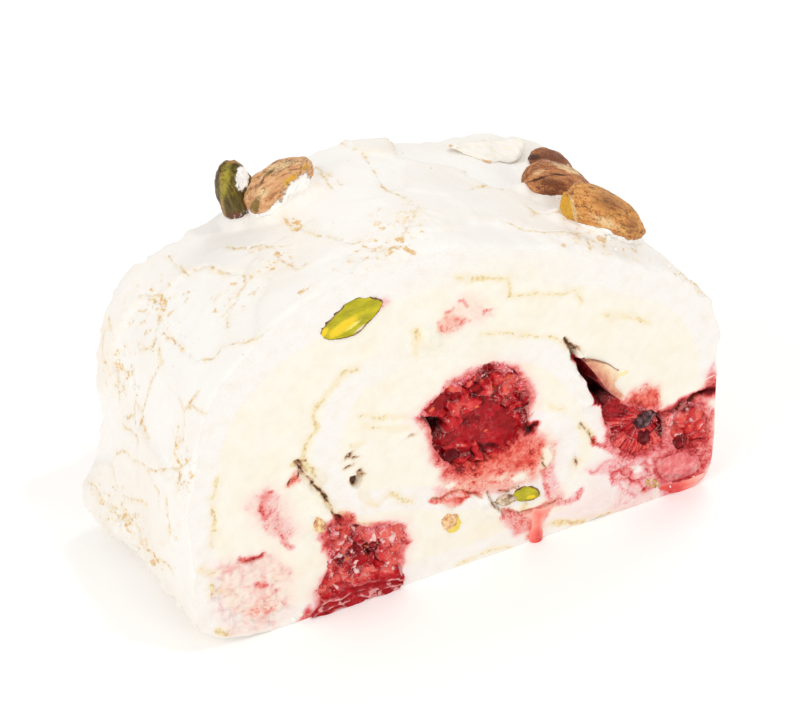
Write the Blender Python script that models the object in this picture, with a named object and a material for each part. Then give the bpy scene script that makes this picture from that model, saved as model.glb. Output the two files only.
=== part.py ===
"""A slice of rolled meringue with cream, raspberries and pistachios.

A baked meringue sheet is spread with cream and fruit, rolled up, and cut across into
slices. The slice stands on its own underside with one cut face to the front.
Frame: X to the right across the cut face, Y from the front cut to the back cut, Z up,
origin at the middle of the footprint on the plate level. Lengths below are millimetres,
and MM turns them into metres where vertices are made.
"""
import math
import random

import bmesh
import bpy
import numpy as np
from mathutils import Euler, Matrix, Vector, geometry, noise

MM = 0.001

# ---- driving dimensions (mm) -------------------------------------------------------
SLICE_DEPTH = 41.0      # from the front cut to the back cut
GAP = 0.3               # clearance between neighbouring pieces
FRONT = -SLICE_DEPTH / 2
BACK = SLICE_DEPTH / 2

# The meringue sheet seen on the front cut: stations along its middle line, from the
# end rolled up in the centre, once round as the inner ring, along the base, up the
# left wall and over the top. Each is (across, up, thickness).
ROLL = (
    (13.2, 25.6, 2.2), (19.0, 21.6, 4.2), (20.2, 15.2, 4.4), (15.2, 10.2, 4.2), (5.0, 12.0, 4.2),
    (-9.0, 17.0, 4.4), (-20.6, 21.0, 4.8), (-24.6, 30.5, 4.8), (-20.4, 41.6, 4.8), (-8.0, 45.3, 4.8),
    (5.5, 41.7, 4.8), (17.2, 35.6, 4.8), (24.7, 25.0, 4.8), (27.9, 13.2, 4.4), (27.3, 4.4, 4.4),
    (22.8, 2.2, 4.4), (5.0, 2.1, 4.2), (-14.0, 1.9, 3.8), (-32.0, 1.9, 3.8), (-43.2, 4.8, 4.4),
    (-46.2, 15.0, 4.4), (-46.3, 30.0, 4.6), (-43.2, 44.0, 5.6), (-33.0, 53.8, 7.0), (-17.0, 58.8, 7.4),
    (-1.0, 58.6, 7.0), (15.0, 54.0, 6.4), (30.0, 47.2, 6.0), (41.8, 39.4, 5.6), (47.0, 30.0, 4.8),
    (47.9, 21.8, 3.6),
)
BASE_STATION = 13.75    # from here on the sheet's outer side is the slice's own outside
HIDDEN_STEP = 3.2       # spacing of the section's points on the rolled-in part
CRUST_STEP = 2.6        # and on the crust that shows
CRUST_ROWS = 15         # rows of crust faces from front to back

# Where the sheet ends low on the right, cream and fruit are bare: outline of that part.
BARE_SIDE = ((30.5, 4.4), (31.4, 1.2), (34.5, 0.2), (44.5, 0.2), (48.8, 1.8), (49.9, 8.0), (49.9, 15.0))
BARE_ROWS = 9
BARE_HOLLOW = 1.0       # the bare side's unevenness

# The gap beside the inner ring, where the cream has come away: outline on the front cut.
CREVICE = ((18.8, 38.8), (22.8, 33.8), (26.6, 31.4), (27.6, 28.2), (31.0, 23.4), (29.0, 21.0), (26.0, 22.0),
           (21.0, 31.5), (18.0, 36.0))
CREVICE_DEPTH = 7.0

# The roll is not quite straight: towards the back its left wall and shoulder fall in,
# its right shoulder stands higher, and the back cut leans forward.
LEAN_IN = 3.1
SHOULDER = (-26.0, 57.0, 14.0)  # middle (x, z) and spread of the sunken shoulder
SHOULDER_DROP = 6.0
SHOULDER_IN = 2.6
RIGHT_RISE = 4.2
CUT_LEAN = 3.0          # how far forward the back cut is at the top
ROLL_HEIGHT = 62.5

# Baked crust: plates that cracked apart as the roll was bent, with sunken joints.
PLATE_SIZE = 13.0
PLATE_JITTER = 4.5      # how far a plate's middle strays from its row and column
PLATE_STEP = 0.75       # how far plates stand above or below each other
CRACK_DEPTH = 1.1
CRACK_WIDTH = 2.0
SWELL = 0.55            # broad unevenness of the baked surface
FOOT_FLARE = 2.6        # how far the foot of the left wall spreads
FLAKE_PLACE = (25.5, 15.6, 52.3)  # a flake standing off the right shoulder
FLAKE_SPREAD = (7.5, 3.0)
FLAKE_LIFT = 1.7

DRUPELET = 3.6          # width of one bead of a raspberry
BEAD_HEIGHT = 0.75
CUP_RINGS = ((0.0, 4), (0.17, 4), (0.42, 2), (0.68, 1), (0.88, 1))  # depth, corners per bead

# Raspberries: name, middle (x, y, z), half sizes (x, y, z), seed. The knife cut those
# whose middle lies near a cut face.
RASPBERRIES = (
    ("raspberry_centre", (2.0, -18.0, 28.8), (10.8, 10.5, 9.5), 3),
    ("raspberry_lower_left", (-18.8, -17.5, 7.2), (8.7, 10.0, 9.8), 5),
    ("raspberry_right_inner", (33.4, -17.0, 16.6), (6.4, 9.0, 6.6), 7),
    ("raspberry_right_outer", (44.2, -15.4, 13.4), (4.3, 7.4, 5.6), 11),
    ("raspberry_right_lower", (42.6, -17.0, 4.7), (5.9, 8.0, 3.6), 13),
    ("raspberry_back_centre", (-2.5, 17.6, 29.5), (10.2, 9.5, 9.6), 17),
    ("raspberry_back_left", (-35.4, 17.0, 31.0), (5.9, 8.0, 7.6), 19),
    ("raspberry_back_lower", (-30.0, 17.2, 11.2), (7.9, 9.0, 7.2), 29),
    ("raspberry_back_right", (38.0, 16.0, 14.5), (8.2, 9.0, 8.4), 23),
)

# Pistachio kernels: name, middle, turn in degrees (x, y, z), half length, width, height.
PISTACHIOS = (
    ("pistachio_top_left_tan", (-18.3, 11.4, 64.6), (0.0, -8.0, 0.0), (7.0, 4.1, 3.7), 4),
    ("pistachio_top_left_green", (-24.9, 15.4, 63.6), (0.0, 72.0, 10.0), (5.9, 3.5, 3.6), 2),
    ("pistachio_top_right_front", (30.6, -12.1, 53.7), (0.0, 27.0, -28.0), (7.7, 4.2, 3.7), 10),
    ("pistachio_top_right_middle", (28.3, -1.2, 53.8), (0.0, 25.0, -22.0), (6.5, 3.8, 3.4), 8),
    ("pistachio_top_right_rear", (32.2, 7.4, 51.4), (0.0, 30.0, -10.0), (4.4, 2.7, 2.3), 6),
    ("pistachio_cut_edge", (-19.3, -20.0, 54.2), (0.0, -25.0, 0.0), (6.4, 5.0, 2.6), 12),
    ("pistachio_cut_low", (12.2, -20.2, 10.4), (0.0, -8.0, 0.0), (3.4, 3.6, 1.6), 14),
)
TOUCHING = (
    ("pistachio_top_left_green", "pistachio_top_left_tan"),
    ("pistachio_top_right_middle", "pistachio_top_right_front"),
    ("pistachio_top_right_rear", "pistachio_top_right_middle"),
)

# Bits of chopped nut in the cream, standing a little out of the front cut.
NUT_BITS = (
    ((-1.6, -19.9, 8.8), (1.7, 1.2, 2.1)),
    ((-29.2, -19.9, 17.6), (1.4, 1.1, 1.9)),
)

POCKET_ROOM = GAP + 0.12  # clearance round a piece in its bed
FACET_LOSS = 1.045        # makes up for a faceted bed lying inside its true round form

# ---- colours (base colour, roughness) -------------------------------------------------
CRUST_WHITE = ((0.86, 0.80, 0.75), 0.72)
CREAM = ((0.90, 0.84, 0.68), 0.50)
BERRY_RED = ((0.42, 0.015, 0.03), 0.28)
NUT_TAN = ((0.45, 0.22, 0.09), 0.6)
NUT_GREEN = ((0.33, 0.34, 0.05), 0.5)


def smooth(low, high, x):
    """0 below low, 1 above high, with a soft ramp between."""
    t = min(max((x - low) / (high - low), 0.0), 1.0)
    return t * t * (3 - 2 * t)


def bend(point):
    """Carry a point of the straight roll to its place in the uneven real one."""
    x, y, z = point
    back = (y - FRONT) / SLICE_DEPTH
    lean = LEAN_IN * math.exp(-((x + 46) / 20) ** 2) * smooth(6, 22, z)
    dip = math.exp(-(((x - SHOULDER[0]) ** 2 + (z - SHOULDER[1]) ** 2) / SHOULDER[2] ** 2))
    rise = RIGHT_RISE * math.exp(-((x - 34) / 15) ** 2) * smooth(18, 44, z)
    return Vector((x + back * (lean + SHOULDER_IN * dip), y - back * CUT_LEAN * z / ROLL_HEIGHT,
                   z + back * (rise - SHOULDER_DROP * dip)))


def new_object(name, bm, finish):
    """Bend a piece of the straight roll, and make it an object with its own material."""
    bmesh.ops.triangulate(bm, faces=bm.faces)
    for vertex in bm.verts:
        vertex.co = bend(vertex.co) * MM
    bmesh.ops.recalc_face_normals(bm, faces=bm.faces)
    mesh = bpy.data.meshes.new(name)
    bm.normal_update()
    bm.to_mesh(mesh)
    bm.free()
    colour, roughness = finish
    material = bpy.data.materials.new(name)
    material.use_nodes = True
    shader = material.node_tree.nodes["Principled BSDF"]
    shader.inputs["Base Color"].default_value = (*colour, 1.0)
    shader.inputs["Roughness"].default_value = roughness
    shader.inputs["Metallic"].default_value = 0.0
    mesh.materials.append(material)
    obj = bpy.data.objects.new(name, mesh)
    bpy.context.scene.collection.objects.link(obj)
    return obj


# ---- the section of the roll -----------------------------------------------------------
def through(stations, place):
    """Point at a fractional place on a smooth curve through the stations."""
    count = len(stations)
    i = min(int(place), count - 2)
    t = place - i
    p1 = np.array(stations[i])
    p2 = np.array(stations[i + 1])
    p0 = np.array(stations[i - 1]) if i > 0 else 2 * p1 - p2
    p3 = np.array(stations[i + 2]) if i + 2 < count else 2 * p2 - p1
    return 0.5 * (2 * p1 + (p2 - p0) * t + (2 * p0 - 5 * p1 + 4 * p2 - p3) * t * t
                  + (3 * p1 - p0 - 3 * p2 + p3) * t ** 3)


def walk(stations, start, end, step):
    """Places along the curve, evenly spaced, from start up to end."""
    fine = np.linspace(start, end, 800)
    points = np.array([through(stations, place)[:2] for place in fine])
    run = np.concatenate([[0], np.cumsum(np.linalg.norm(np.diff(points, axis=0), axis=1))])
    count = max(int(round(run[-1] / step)), 1)
    return list(np.interp(np.linspace(0, run[-1], count + 1), run, fine))


def section():
    """Outer and inner side of the sheet on the cut: two lists of (x, z), their inward
    normals, the distance along the crust, and the index where the crust starts."""
    last = len(ROLL) - 1
    places = walk(ROLL, 0, BASE_STATION, HIDDEN_STEP)[:-1]
    crust_start = len(places)
    places += walk(ROLL, BASE_STATION, last, CRUST_STEP)
    middle = np.array([through(ROLL, place) for place in places])
    ahead = np.array([through(ROLL, min(place + 0.02, last))[:2] for place in places])
    behind = np.array([through(ROLL, max(place - 0.02, 0))[:2] for place in places])
    along = ahead - behind
    along /= np.linalg.norm(along, axis=1)[:, None]
    inward = np.stack([along[:, 1], -along[:, 0]], 1)
    outer = middle[:, :2] - inward * middle[:, 2:3] / 2
    inner = middle[:, :2] + inward * middle[:, 2:3] / 2
    run = np.concatenate([[0], np.cumsum(np.linalg.norm(np.diff(outer, axis=0), axis=1))])
    run -= run[crust_start]
    flat = (outer[:, 1] < 0.25) & (np.abs(inward[:, 1]) > 0.9)
    outer[flat, 1] = 0.0
    outer[:, 1] = np.maximum(outer[:, 1], 0.0)
    return outer, inner, inward, along, run, crust_start


# ---- crust relief ------------------------------------------------------------------------
def plate_centres(length):
    """Seeded middles of the crust's plates over its unrolled length and depth."""
    rng = random.Random(41)
    centres = []
    for row in range(-1, int(SLICE_DEPTH / PLATE_SIZE) + 2):
        for column in range(-1, int(length / PLATE_SIZE) + 2):
            shift = 0.5 * PLATE_SIZE * (row % 2)
            along = column * PLATE_SIZE + shift + rng.uniform(-PLATE_JITTER, PLATE_JITTER)
            across = FRONT + row * PLATE_SIZE + rng.uniform(-PLATE_JITTER, PLATE_JITTER)
            centres.append((along, across, rng.uniform(-1, 1)))
    return centres


def crust_height(run, x, y, z, centres):
    """How far the crust stands out from the plain rolled surface."""
    near = sorted((math.hypot(run - c[0], (y - c[1]) * 1.1), c[2]) for c in centres)[:2]
    joint = near[1][0] - near[0][0]
    height = PLATE_STEP * near[0][1]
    height -= CRACK_DEPTH * (1 - smooth(0, CRACK_WIDTH, joint))
    height += SWELL * noise.noise(Vector((x, y, z)) / 11.0)
    foot = math.exp(-((z - 5.5) / 4.5) ** 2) * (0.25 + 0.75 * smooth(0, 14, y)) * smooth(0, -30, x)
    height += FOOT_FLARE * foot
    flake = Vector((x, y, z)) - Vector(FLAKE_PLACE)
    spread = math.exp(-(flake.x / FLAKE_SPREAD[0]) ** 2 - (flake.y / FLAKE_SPREAD[1]) ** 2)
    height += FLAKE_LIFT * spread * smooth(30, 50, z)
    return height * smooth(0.3, 6.0, z)


# ---- meringue sheet ------------------------------------------------------------------------
def join_columns(bm, here, there, backwards=False):
    """Triangles between two columns that run from front to back, also of unequal counts.
    Neighbouring pieces split their twisted strips the same way, so they stay clear."""
    if len(here) == len(there):
        if backwards:
            here, there = there, here
        for j in range(len(here) - 1):
            bm.faces.new((here[j], here[j + 1], there[j + 1]))
            bm.faces.new((here[j], there[j + 1], there[j]))
        return
    fine, plain = (here, there) if len(here) > len(there) else (there, here)
    middle = len(fine) // 2
    for j in range(len(fine) - 1):
        bm.faces.new((fine[j], fine[j + 1], plain[0] if j < middle else plain[-1]))
    bm.faces.new((plain[0], fine[middle], plain[-1]))


def build_sheet():
    """The rolled sheet: a strip of quads on each cut, plain inner faces, relief outside."""
    outer, inner, inward, along, run, crust_start = section()
    count = len(outer)
    centres = plate_centres(run[-1])
    rows = [FRONT + SLICE_DEPTH * j / CRUST_ROWS for j in range(CRUST_ROWS + 1)]
    bm = bmesh.new()

    def outer_point(i, y):
        x, z = outer[i]
        if i >= crust_start:
            ends = smooth(0, 5, run[i]) * smooth(0, 5, run[-1] - run[i])
            height = ends * crust_height(run[i], x, y, z, centres)
            x -= inward[i][0] * height
            z = max(z - inward[i][1] * height, 0.0)
        return bm.verts.new((x, y, z))

    sides = []
    for i in range(count):
        used = rows if i >= crust_start and outer[i][1] > 0 else (FRONT, BACK)
        sides.append([outer_point(i, y) for y in used])
    linings = [[bm.verts.new((x, y, z)) for y in (FRONT, BACK)] for x, z in inner]
    for i in range(count - 1):
        join_columns(bm, sides[i], sides[i + 1])
        join_columns(bm, linings[i], linings[i + 1])
        for end in (0, -1):
            bm.faces.new((sides[i][end], sides[i + 1][end], linings[i + 1][end], linings[i][end]))
    join_columns(bm, sides[0], linings[0])
    join_columns(bm, sides[-1], linings[-1])
    return new_object("meringue_sheet", bm, CRUST_WHITE)


# ---- cream ---------------------------------------------------------------------------------
def cream_outline():
    """Outline of the cream on the cut, a clearance inside the sheet all along, with the
    count of points on the sheet's lining and the range that lies bare on the right."""
    outer, inner, inward, along, _, crust_start = section()
    points = [tuple(inner[i] + inward[i] * GAP) for i in range(len(inner) - 1, -1, -1)]
    points.append(tuple(inner[0] + (inward[0] - along[0]) * GAP))
    points.append(tuple(outer[0] - (inward[0] + along[0]) * GAP))
    points += [tuple(outer[i] - inward[i] * GAP) for i in range(crust_start + 1)]
    bare_start = len(points)
    last = len(BARE_SIDE) - 1
    points += [tuple(through(BARE_SIDE, place)) for place in walk(BARE_SIDE, 0, last, HIDDEN_STEP)]
    bare_end = len(points)
    points.append(tuple(outer[-1] + (along[-1] + inward[-1] * 0.4) * GAP))
    points.append(tuple(inner[-1] + (along[-1] + inward[-1]) * GAP))
    return points, len(inner), bare_start, bare_end


def build_cream():
    """The cream filling: one spiral body between the turns of the sheet."""
    points, lining, bare_start, bare_end = cream_outline()
    count = len(points)
    rows = [FRONT + SLICE_DEPTH * j / BARE_ROWS for j in range(BARE_ROWS + 1)]
    bm = bmesh.new()
    columns = []
    for i, (x, z) in enumerate(points):
        bare = bare_start <= i < bare_end and z > 1.0
        column = []
        for y in rows if bare else (FRONT, BACK):
            hollow = BARE_HOLLOW * abs(noise.noise(Vector((x, y, z)) / 5.0)) if bare else 0.0
            column.append(bm.verts.new((x - hollow * smooth(40, 50, x), y, z)))
        columns.append(column)
    for i in range(count):
        join_columns(bm, columns[i], columns[(i + 1) % count], backwards=i < lining)
    flat = [Vector(point) for point in points]
    _, _, corners, origin, _, _ = geometry.delaunay_2d_cdt(flat, [], [list(range(count))], 1, 1e-5)
    for corner in corners:
        index = [origin[k][0] for k in corner]
        bm.faces.new([columns[k][0] for k in index])
        bm.faces.new([columns[k][-1] for k in reversed(index)])
    return new_object("cream_filling", bm, CREAM)


def build_crevice():
    """A cutter for the dark gap that opened between the inner ring and the cream."""
    bm = bmesh.new()
    loops = [[bm.verts.new((x, y, z)) for x, z in CREVICE] for y in (FRONT - 1, FRONT + CREVICE_DEPTH)]
    count = len(CREVICE)
    for k in range(count):
        bm.faces.new((loops[0][k], loops[0][(k + 1) % count], loops[1][(k + 1) % count], loops[1][k]))
    for loop in loops:
        bm.faces.new(loop)
    return new_object("crevice", bm, CREAM)


# ---- fruit and nuts --------------------------------------------------------------------------
def ball(middle, half, turn=(0, 0, 0), level=3):
    """A bmesh ball stretched to the half sizes, turned and set at its middle."""
    bm = bmesh.new()
    bmesh.ops.create_icosphere(bm, subdivisions=level, radius=1.0)
    place = Matrix.Translation(middle) @ Euler([math.radians(a) for a in turn]).to_matrix().to_4x4()
    return bm, place, Vector(half)


def trim(bm):
    """Cut the piece at the knife's two planes and at the plate."""
    planes = (((0, FRONT, 0), (0, -1, 0)), ((0, BACK, 0), (0, 1, 0)), ((0, 0, 0.2), (0, 0, -1)))
    for point, outward in planes:
        every = bm.verts[:] + bm.edges[:] + bm.faces[:]
        cut = bmesh.ops.bisect_plane(bm, geom=every, dist=1e-5, plane_co=point, plane_no=outward,
                                     clear_outer=True)
        edges = [item for item in cut["geom_cut"] if isinstance(item, bmesh.types.BMEdge)]
        if edges:
            bmesh.ops.edgenet_fill(bm, edges=edges)


def build_raspberry(name, middle, half, seed):
    """A raspberry halved by the knife: a cup of rings that swell at each bead, with a
    flat cut face. The rings get plainer towards the end that the food hides."""
    side = -1 if middle[1] < 0 else 1
    centre = Vector(middle)
    rng = random.Random(seed)
    beads = max(int(math.tau * (half[0] + half[2]) / 2 / DRUPELET), 6)
    shift = rng.uniform(0, math.tau)
    cut = FRONT if side < 0 else BACK
    top = (cut - centre.y) / (half[1] * side)
    bm = bmesh.new()
    rings = []
    for depth, corners_per_bead in CUP_RINGS:
        corners = corners_per_bead * beads
        level = top - depth * (1 + top)
        girth = math.sqrt(max(1 - level * level, 0.0))
        ring = []
        for k in range(corners):
            angle = math.tau * k / corners
            bead = abs(math.sin(0.5 * beads * angle + shift)) if corners > beads else 0.5
            reach = girth * (1 - (BEAD_HEIGHT / half[0]) * (1 - bead) * (1.4 if depth == 0 else 1.0))
            reach *= 1 - 0.05 * noise.noise(Vector((math.cos(angle), math.sin(angle), seed + depth)) * 1.3)
            ring.append(bm.verts.new((centre.x + half[0] * reach * math.cos(angle),
                                      cut - side * depth * half[1] * (1 + top),
                                      max(centre.z + half[2] * reach * math.sin(angle), 0.05))))
        rings.append(ring)
    tip = bm.verts.new((centre.x, centre.y - side * half[1] * 0.97, max(centre.z, 0.05)))
    for near, far in zip(rings, rings[1:]):
        ratio = len(near) // len(far)
        for k in range(len(far)):
            span = [near[(k * ratio + m) % len(near)] for m in range(ratio + 1)]
            bm.faces.new(span + [far[(k + 1) % len(far)], far[k]])
    for k in range(len(rings[-1])):
        bm.faces.new((rings[-1][k], rings[-1][(k + 1) % len(rings[-1])], tip))
    bm.faces.new(rings[0])
    return new_object(name, bm, BERRY_RED)


def build_pistachio(name, middle, turn, half, seed):
    """A pistachio kernel: longer than wide, one end blunter, with a shallow seam."""
    cut = name.startswith("pistachio_cut")
    bm, place, size = ball(middle, half, turn)
    for vertex in bm.verts:
        direction = vertex.co.normalized()
        width = 1 - 0.16 * direction.x
        wrinkle = 1 + 0.05 * noise.noise(direction * 2.4 + Vector((seed, 0, 0)))
        seam = 1 - 0.07 * math.exp(-(direction.z / 0.22) ** 2) * smooth(-0.3, 0.5, direction.y)
        vertex.co = Vector((direction.x * size.x, direction.y * size.y * width * seam,
                            direction.z * size.z * width)) * wrinkle
        vertex.co = place @ vertex.co
    trim(bm)
    return new_object(name, bm, NUT_GREEN if cut or "green" in name else NUT_TAN)


def pocket(middle, half, turn=(0, 0, 0), level=3):
    """A smooth ball a clearance larger than a piece, to cut its bed."""
    bm, place, size = ball(middle, half, turn, level)
    room = size + Vector((POCKET_ROOM, POCKET_ROOM, POCKET_ROOM))
    for vertex in bm.verts:
        vertex.co = place @ (vertex.co.normalized() * room * FACET_LOSS)
    return new_object("pocket", bm, CREAM)


def build_nut_bit(middle, half):
    """A small rough bit of nut, to be joined to the cream."""
    bm, place, size = ball(middle, half, level=2)
    for vertex in bm.verts:
        vertex.co = place @ (vertex.co * size)
    return new_object("nut_bit", bm, CREAM)


def cut_with(obj, cutter, operation="DIFFERENCE"):
    """Apply one Boolean to an object and drop the cutter."""
    modifier = obj.modifiers.new("cut", "BOOLEAN")
    modifier.operation = operation
    modifier.solver = "EXACT"
    modifier.object = cutter
    graph = bpy.context.evaluated_depsgraph_get()
    mesh = bpy.data.meshes.new_from_object(obj.evaluated_get(graph))
    material = obj.data.materials[0]
    obj.modifiers.clear()
    obj.data = mesh
    mesh.materials.clear()
    mesh.materials.append(material)
    bpy.data.objects.remove(cutter)


def settle():
    """Set the slice with its footprint's middle at the origin and its base at zero."""
    meshes = [obj.data for obj in bpy.data.objects]
    corners = np.array([vertex.co for mesh in meshes for vertex in mesh.vertices])
    low, high = corners.min(axis=0), corners.max(axis=0)
    shift = Vector((-(low[0] + high[0]) / 2, -(low[1] + high[1]) / 2, -low[2]))
    for mesh in meshes:
        mesh.transform(Matrix.Translation(shift))


def main():
    """Build every piece, cut the beds of fruit and nuts, and set the slice down."""
    for obj in list(bpy.data.objects):
        bpy.data.objects.remove(obj)
    sheet = build_sheet()
    cream = build_cream()
    cut_with(cream, build_crevice())
    for name, middle, half, seed in RASPBERRIES:
        build_raspberry(name, middle, half, seed)
        cut_with(cream, pocket(middle, half))
        cut_with(sheet, pocket(middle, half))
    for name, middle, turn, half, seed in PISTACHIOS:
        build_pistachio(name, middle, turn, half, seed)
        cut_with(sheet, pocket(middle, half, turn))
        cut_with(cream, pocket(middle, half, turn))
    for middle, half in NUT_BITS:
        cut_with(cream, build_nut_bit(middle, half), "UNION")
    nuts = {name: (middle, half, turn) for name, middle, turn, half, _ in PISTACHIOS}
    for behind, before in TOUCHING:
        cut_with(bpy.data.objects[behind], pocket(*nuts[before]))
    settle()


main()
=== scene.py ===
"""The looks of a slice of meringue roll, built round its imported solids.

The slice is modelled straight, in millimetres, with its section in X and Z and its depth in Y.
set_down() then bends it as the real roll is bent, and puts it in the frame in metres.
"""
import math

import bmesh
import bpy
import numpy as np
from mathutils import Euler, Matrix, Vector, geometry, kdtree, noise


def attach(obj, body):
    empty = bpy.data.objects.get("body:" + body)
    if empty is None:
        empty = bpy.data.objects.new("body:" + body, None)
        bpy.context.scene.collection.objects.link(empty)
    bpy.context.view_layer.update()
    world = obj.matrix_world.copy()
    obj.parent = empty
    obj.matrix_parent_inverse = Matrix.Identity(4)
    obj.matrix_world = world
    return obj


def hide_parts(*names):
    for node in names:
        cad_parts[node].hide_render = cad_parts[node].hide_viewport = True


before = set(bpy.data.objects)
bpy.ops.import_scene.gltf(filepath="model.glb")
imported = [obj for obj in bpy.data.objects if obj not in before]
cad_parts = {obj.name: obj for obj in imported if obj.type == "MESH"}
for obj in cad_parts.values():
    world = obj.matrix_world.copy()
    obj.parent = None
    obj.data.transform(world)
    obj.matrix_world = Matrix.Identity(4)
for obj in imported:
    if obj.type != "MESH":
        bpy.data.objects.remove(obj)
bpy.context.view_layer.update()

# ---- camera ----------------------------------------------------------------------------------
# A long lens, a little to the left of the cut face and well above it, so that the cut, the
# left wall and the whole top of the slice show with hardly any perspective.
MM = 0.001
LOOK_AT = Vector((-0.229, 0.297, 28.94))
CAMERA_DISTANCE = 526.8
CAMERA_TURN = math.radians(-29.44)
CAMERA_TILT = math.radians(33.29)
LENS, SENSOR = 144, 36

towards_camera = Vector((math.sin(CAMERA_TURN) * math.cos(CAMERA_TILT),
                         -math.cos(CAMERA_TURN) * math.cos(CAMERA_TILT), math.sin(CAMERA_TILT)))
camera_data = bpy.data.cameras.new("camera")
camera_data.lens = LENS
camera_data.sensor_width = SENSOR
camera_data.clip_start = 0.01
camera = bpy.data.objects.new("camera", camera_data)
camera.location = (LOOK_AT + towards_camera * CAMERA_DISTANCE) * MM
camera.rotation_euler = towards_camera.to_track_quat("Z", "Y").to_euler()
bpy.context.scene.collection.objects.link(camera)
bpy.context.scene.camera = camera

# ---- meringue sheet --------------------------------------------------------------------------
# Baked egg white and sugar: a brittle white crust over soft foam. The sheet is rolled up round
# its filling, which cracks the crust into plates, and a knife cuts it at the front and back.
SLICE_DEPTH = 41.0
FRONT, BACK = -SLICE_DEPTH / 2, SLICE_DEPTH / 2
SETTLE = np.array((-0.409, 0.297, 0.0))  # brings the footprint's middle to the origin

# Stations along the middle of the rolled sheet, from its end in the centre: across, up, thickness.
ROLL = np.array((
    (13.2, 25.6, 2.2), (19.0, 21.6, 4.2), (20.2, 15.2, 4.4), (15.2, 10.2, 4.2), (5.0, 12.0, 4.2),
    (-9.0, 17.0, 4.4), (-20.6, 21.0, 4.8), (-24.6, 30.5, 4.8), (-20.4, 41.6, 4.8), (-8.0, 45.3, 4.8),
    (5.5, 41.7, 4.8), (17.2, 35.6, 4.8), (24.7, 25.0, 4.8), (27.9, 13.2, 4.4), (27.3, 4.4, 4.4),
    (22.8, 2.2, 4.4), (5.0, 2.1, 4.2), (-14.0, 1.9, 3.8), (-32.0, 1.9, 3.8), (-43.2, 4.8, 4.4),
    (-46.2, 15.0, 4.4), (-46.3, 30.0, 4.6), (-43.2, 44.0, 5.6), (-33.0, 53.8, 7.0), (-17.0, 58.8, 7.4),
    (-1.0, 58.6, 7.0), (15.0, 54.0, 6.4), (30.0, 47.2, 6.0), (41.8, 39.4, 5.6), (47.0, 30.0, 4.8),
    (47.9, 21.8, 3.6)))
BASE_STATION = 13.75   # the crust that shows starts here, under the slice
SHEET_STEP = 0.45      # spacing of the mesh along the sheet
ACROSS = 11            # faces across the sheet's thickness on a cut
CRUST_ROWS = 94        # faces from front to back on the crust
LINING_ROWS = (0, 0.01, 0.03, 0.08, 0.2, 0.8, 0.92, 0.97, 0.99, 1)
FAR = 9.0              # stands for too far away to matter, in a mask that holds a distance


def smooth(low, high, x):
    """0 below low, 1 above high, with a soft ramp between."""
    t = np.clip((x - low) / (high - low), 0.0, 1.0)
    return t * t * (3 - 2 * t)


def set_down(points):
    """Straight millimetres to the uneven roll's metres in the frame."""
    x, y, z = np.asarray(points, float).T
    back = (y - FRONT) / SLICE_DEPTH
    lean = 3.1 * np.exp(-((x + 46) / 20) ** 2) * smooth(6, 22, z)
    dip = np.exp(-((x + 26) ** 2 + (z - 57) ** 2) / 14.0 ** 2)
    rise = 4.2 * np.exp(-((x - 34) / 15) ** 2) * smooth(18, 44, z)
    bent = np.stack([x + back * (lean + 2.6 * dip), y - back * 3.0 * z / 62.5,
                     z + back * (rise - 6.0 * dip)], 1)
    return (bent + SETTLE) * MM


def scatter(lattice, seed):
    """A random number from 0 to 1 for each whole-numbered place."""
    mix = (lattice * np.array((73856093, 19349663, 83492791))[:lattice.shape[1]]).sum(1) + seed * 2654435
    mix = (mix ^ (mix >> 13)) * 1274126177 & 0x7fffffff
    mix = (mix ^ (mix >> 15)) * 668265263 & 0x7fffffff
    return ((mix ^ (mix >> 11)) & 0xffffff) / 0xffffff


def lumps(points, size, seed, octaves=1):
    """Soft random value from about -1 to 1 at each point, with lumps of the given size."""
    points = np.asarray(points, float)
    total = np.zeros(len(points))
    for octave in range(octaves):
        places = points * 2 ** octave / size + 17.3 * octave
        cell = np.floor(places).astype(np.int64)
        part = places - cell
        part = part * part * (3 - 2 * part)
        for corner in np.ndindex(*(2,) * points.shape[1]):
            share = np.prod(np.where(np.array(corner) == 1, part, 1 - part), axis=1)
            total += share * (scatter(cell + np.array(corner), seed + octave) * 2 - 1) * 0.5 ** octave
    return total


def jitter(points, size, *seeds, octaves=2):
    """A soft random shift on a cut or on the flat crust at each point, with a seed for each way."""
    return np.stack([lumps(points, size, seed, octaves) for seed in seeds], 1)


def cells(points, size, seed):
    """Distances to the two nearest of scattered centres, the nearest one's number, and the way to it."""
    places = np.asarray(points, float) / size
    cell = np.floor(places).astype(np.int64)
    nearest = np.full(len(places), 9.0)
    second = nearest.copy()
    number, way = np.zeros(len(places)), np.zeros(places.shape)
    for step in np.ndindex(*(3,) * places.shape[1]):
        there = cell + np.array(step) - 1
        shift = np.stack([scatter(there, seed + axis) for axis in range(places.shape[1])], 1)
        off = there + 0.1 + 0.8 * shift - places
        away = np.linalg.norm(off, axis=1)
        closer = away < nearest
        way[closer] = off[closer]
        second = np.where(closer, nearest, np.minimum(second, away))
        number = np.where(closer, scatter(there, seed + 7), number)
        nearest = np.where(closer, away, nearest)
    return nearest * size, second * size, number, way * size


def from_line(points, line):
    """Distance of each point from an open line through the given corners."""
    points, line = np.asarray(points, float), np.asarray(line, float)
    least = np.full(len(points), 1e9)
    for start, end in zip(line, line[1:]):
        way = end - start
        t = np.clip(((points - start) @ way) / (way @ way), 0, 1)
        least = np.minimum(least, np.linalg.norm(points - start - t[:, None] * way, axis=1))
    return least


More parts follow.
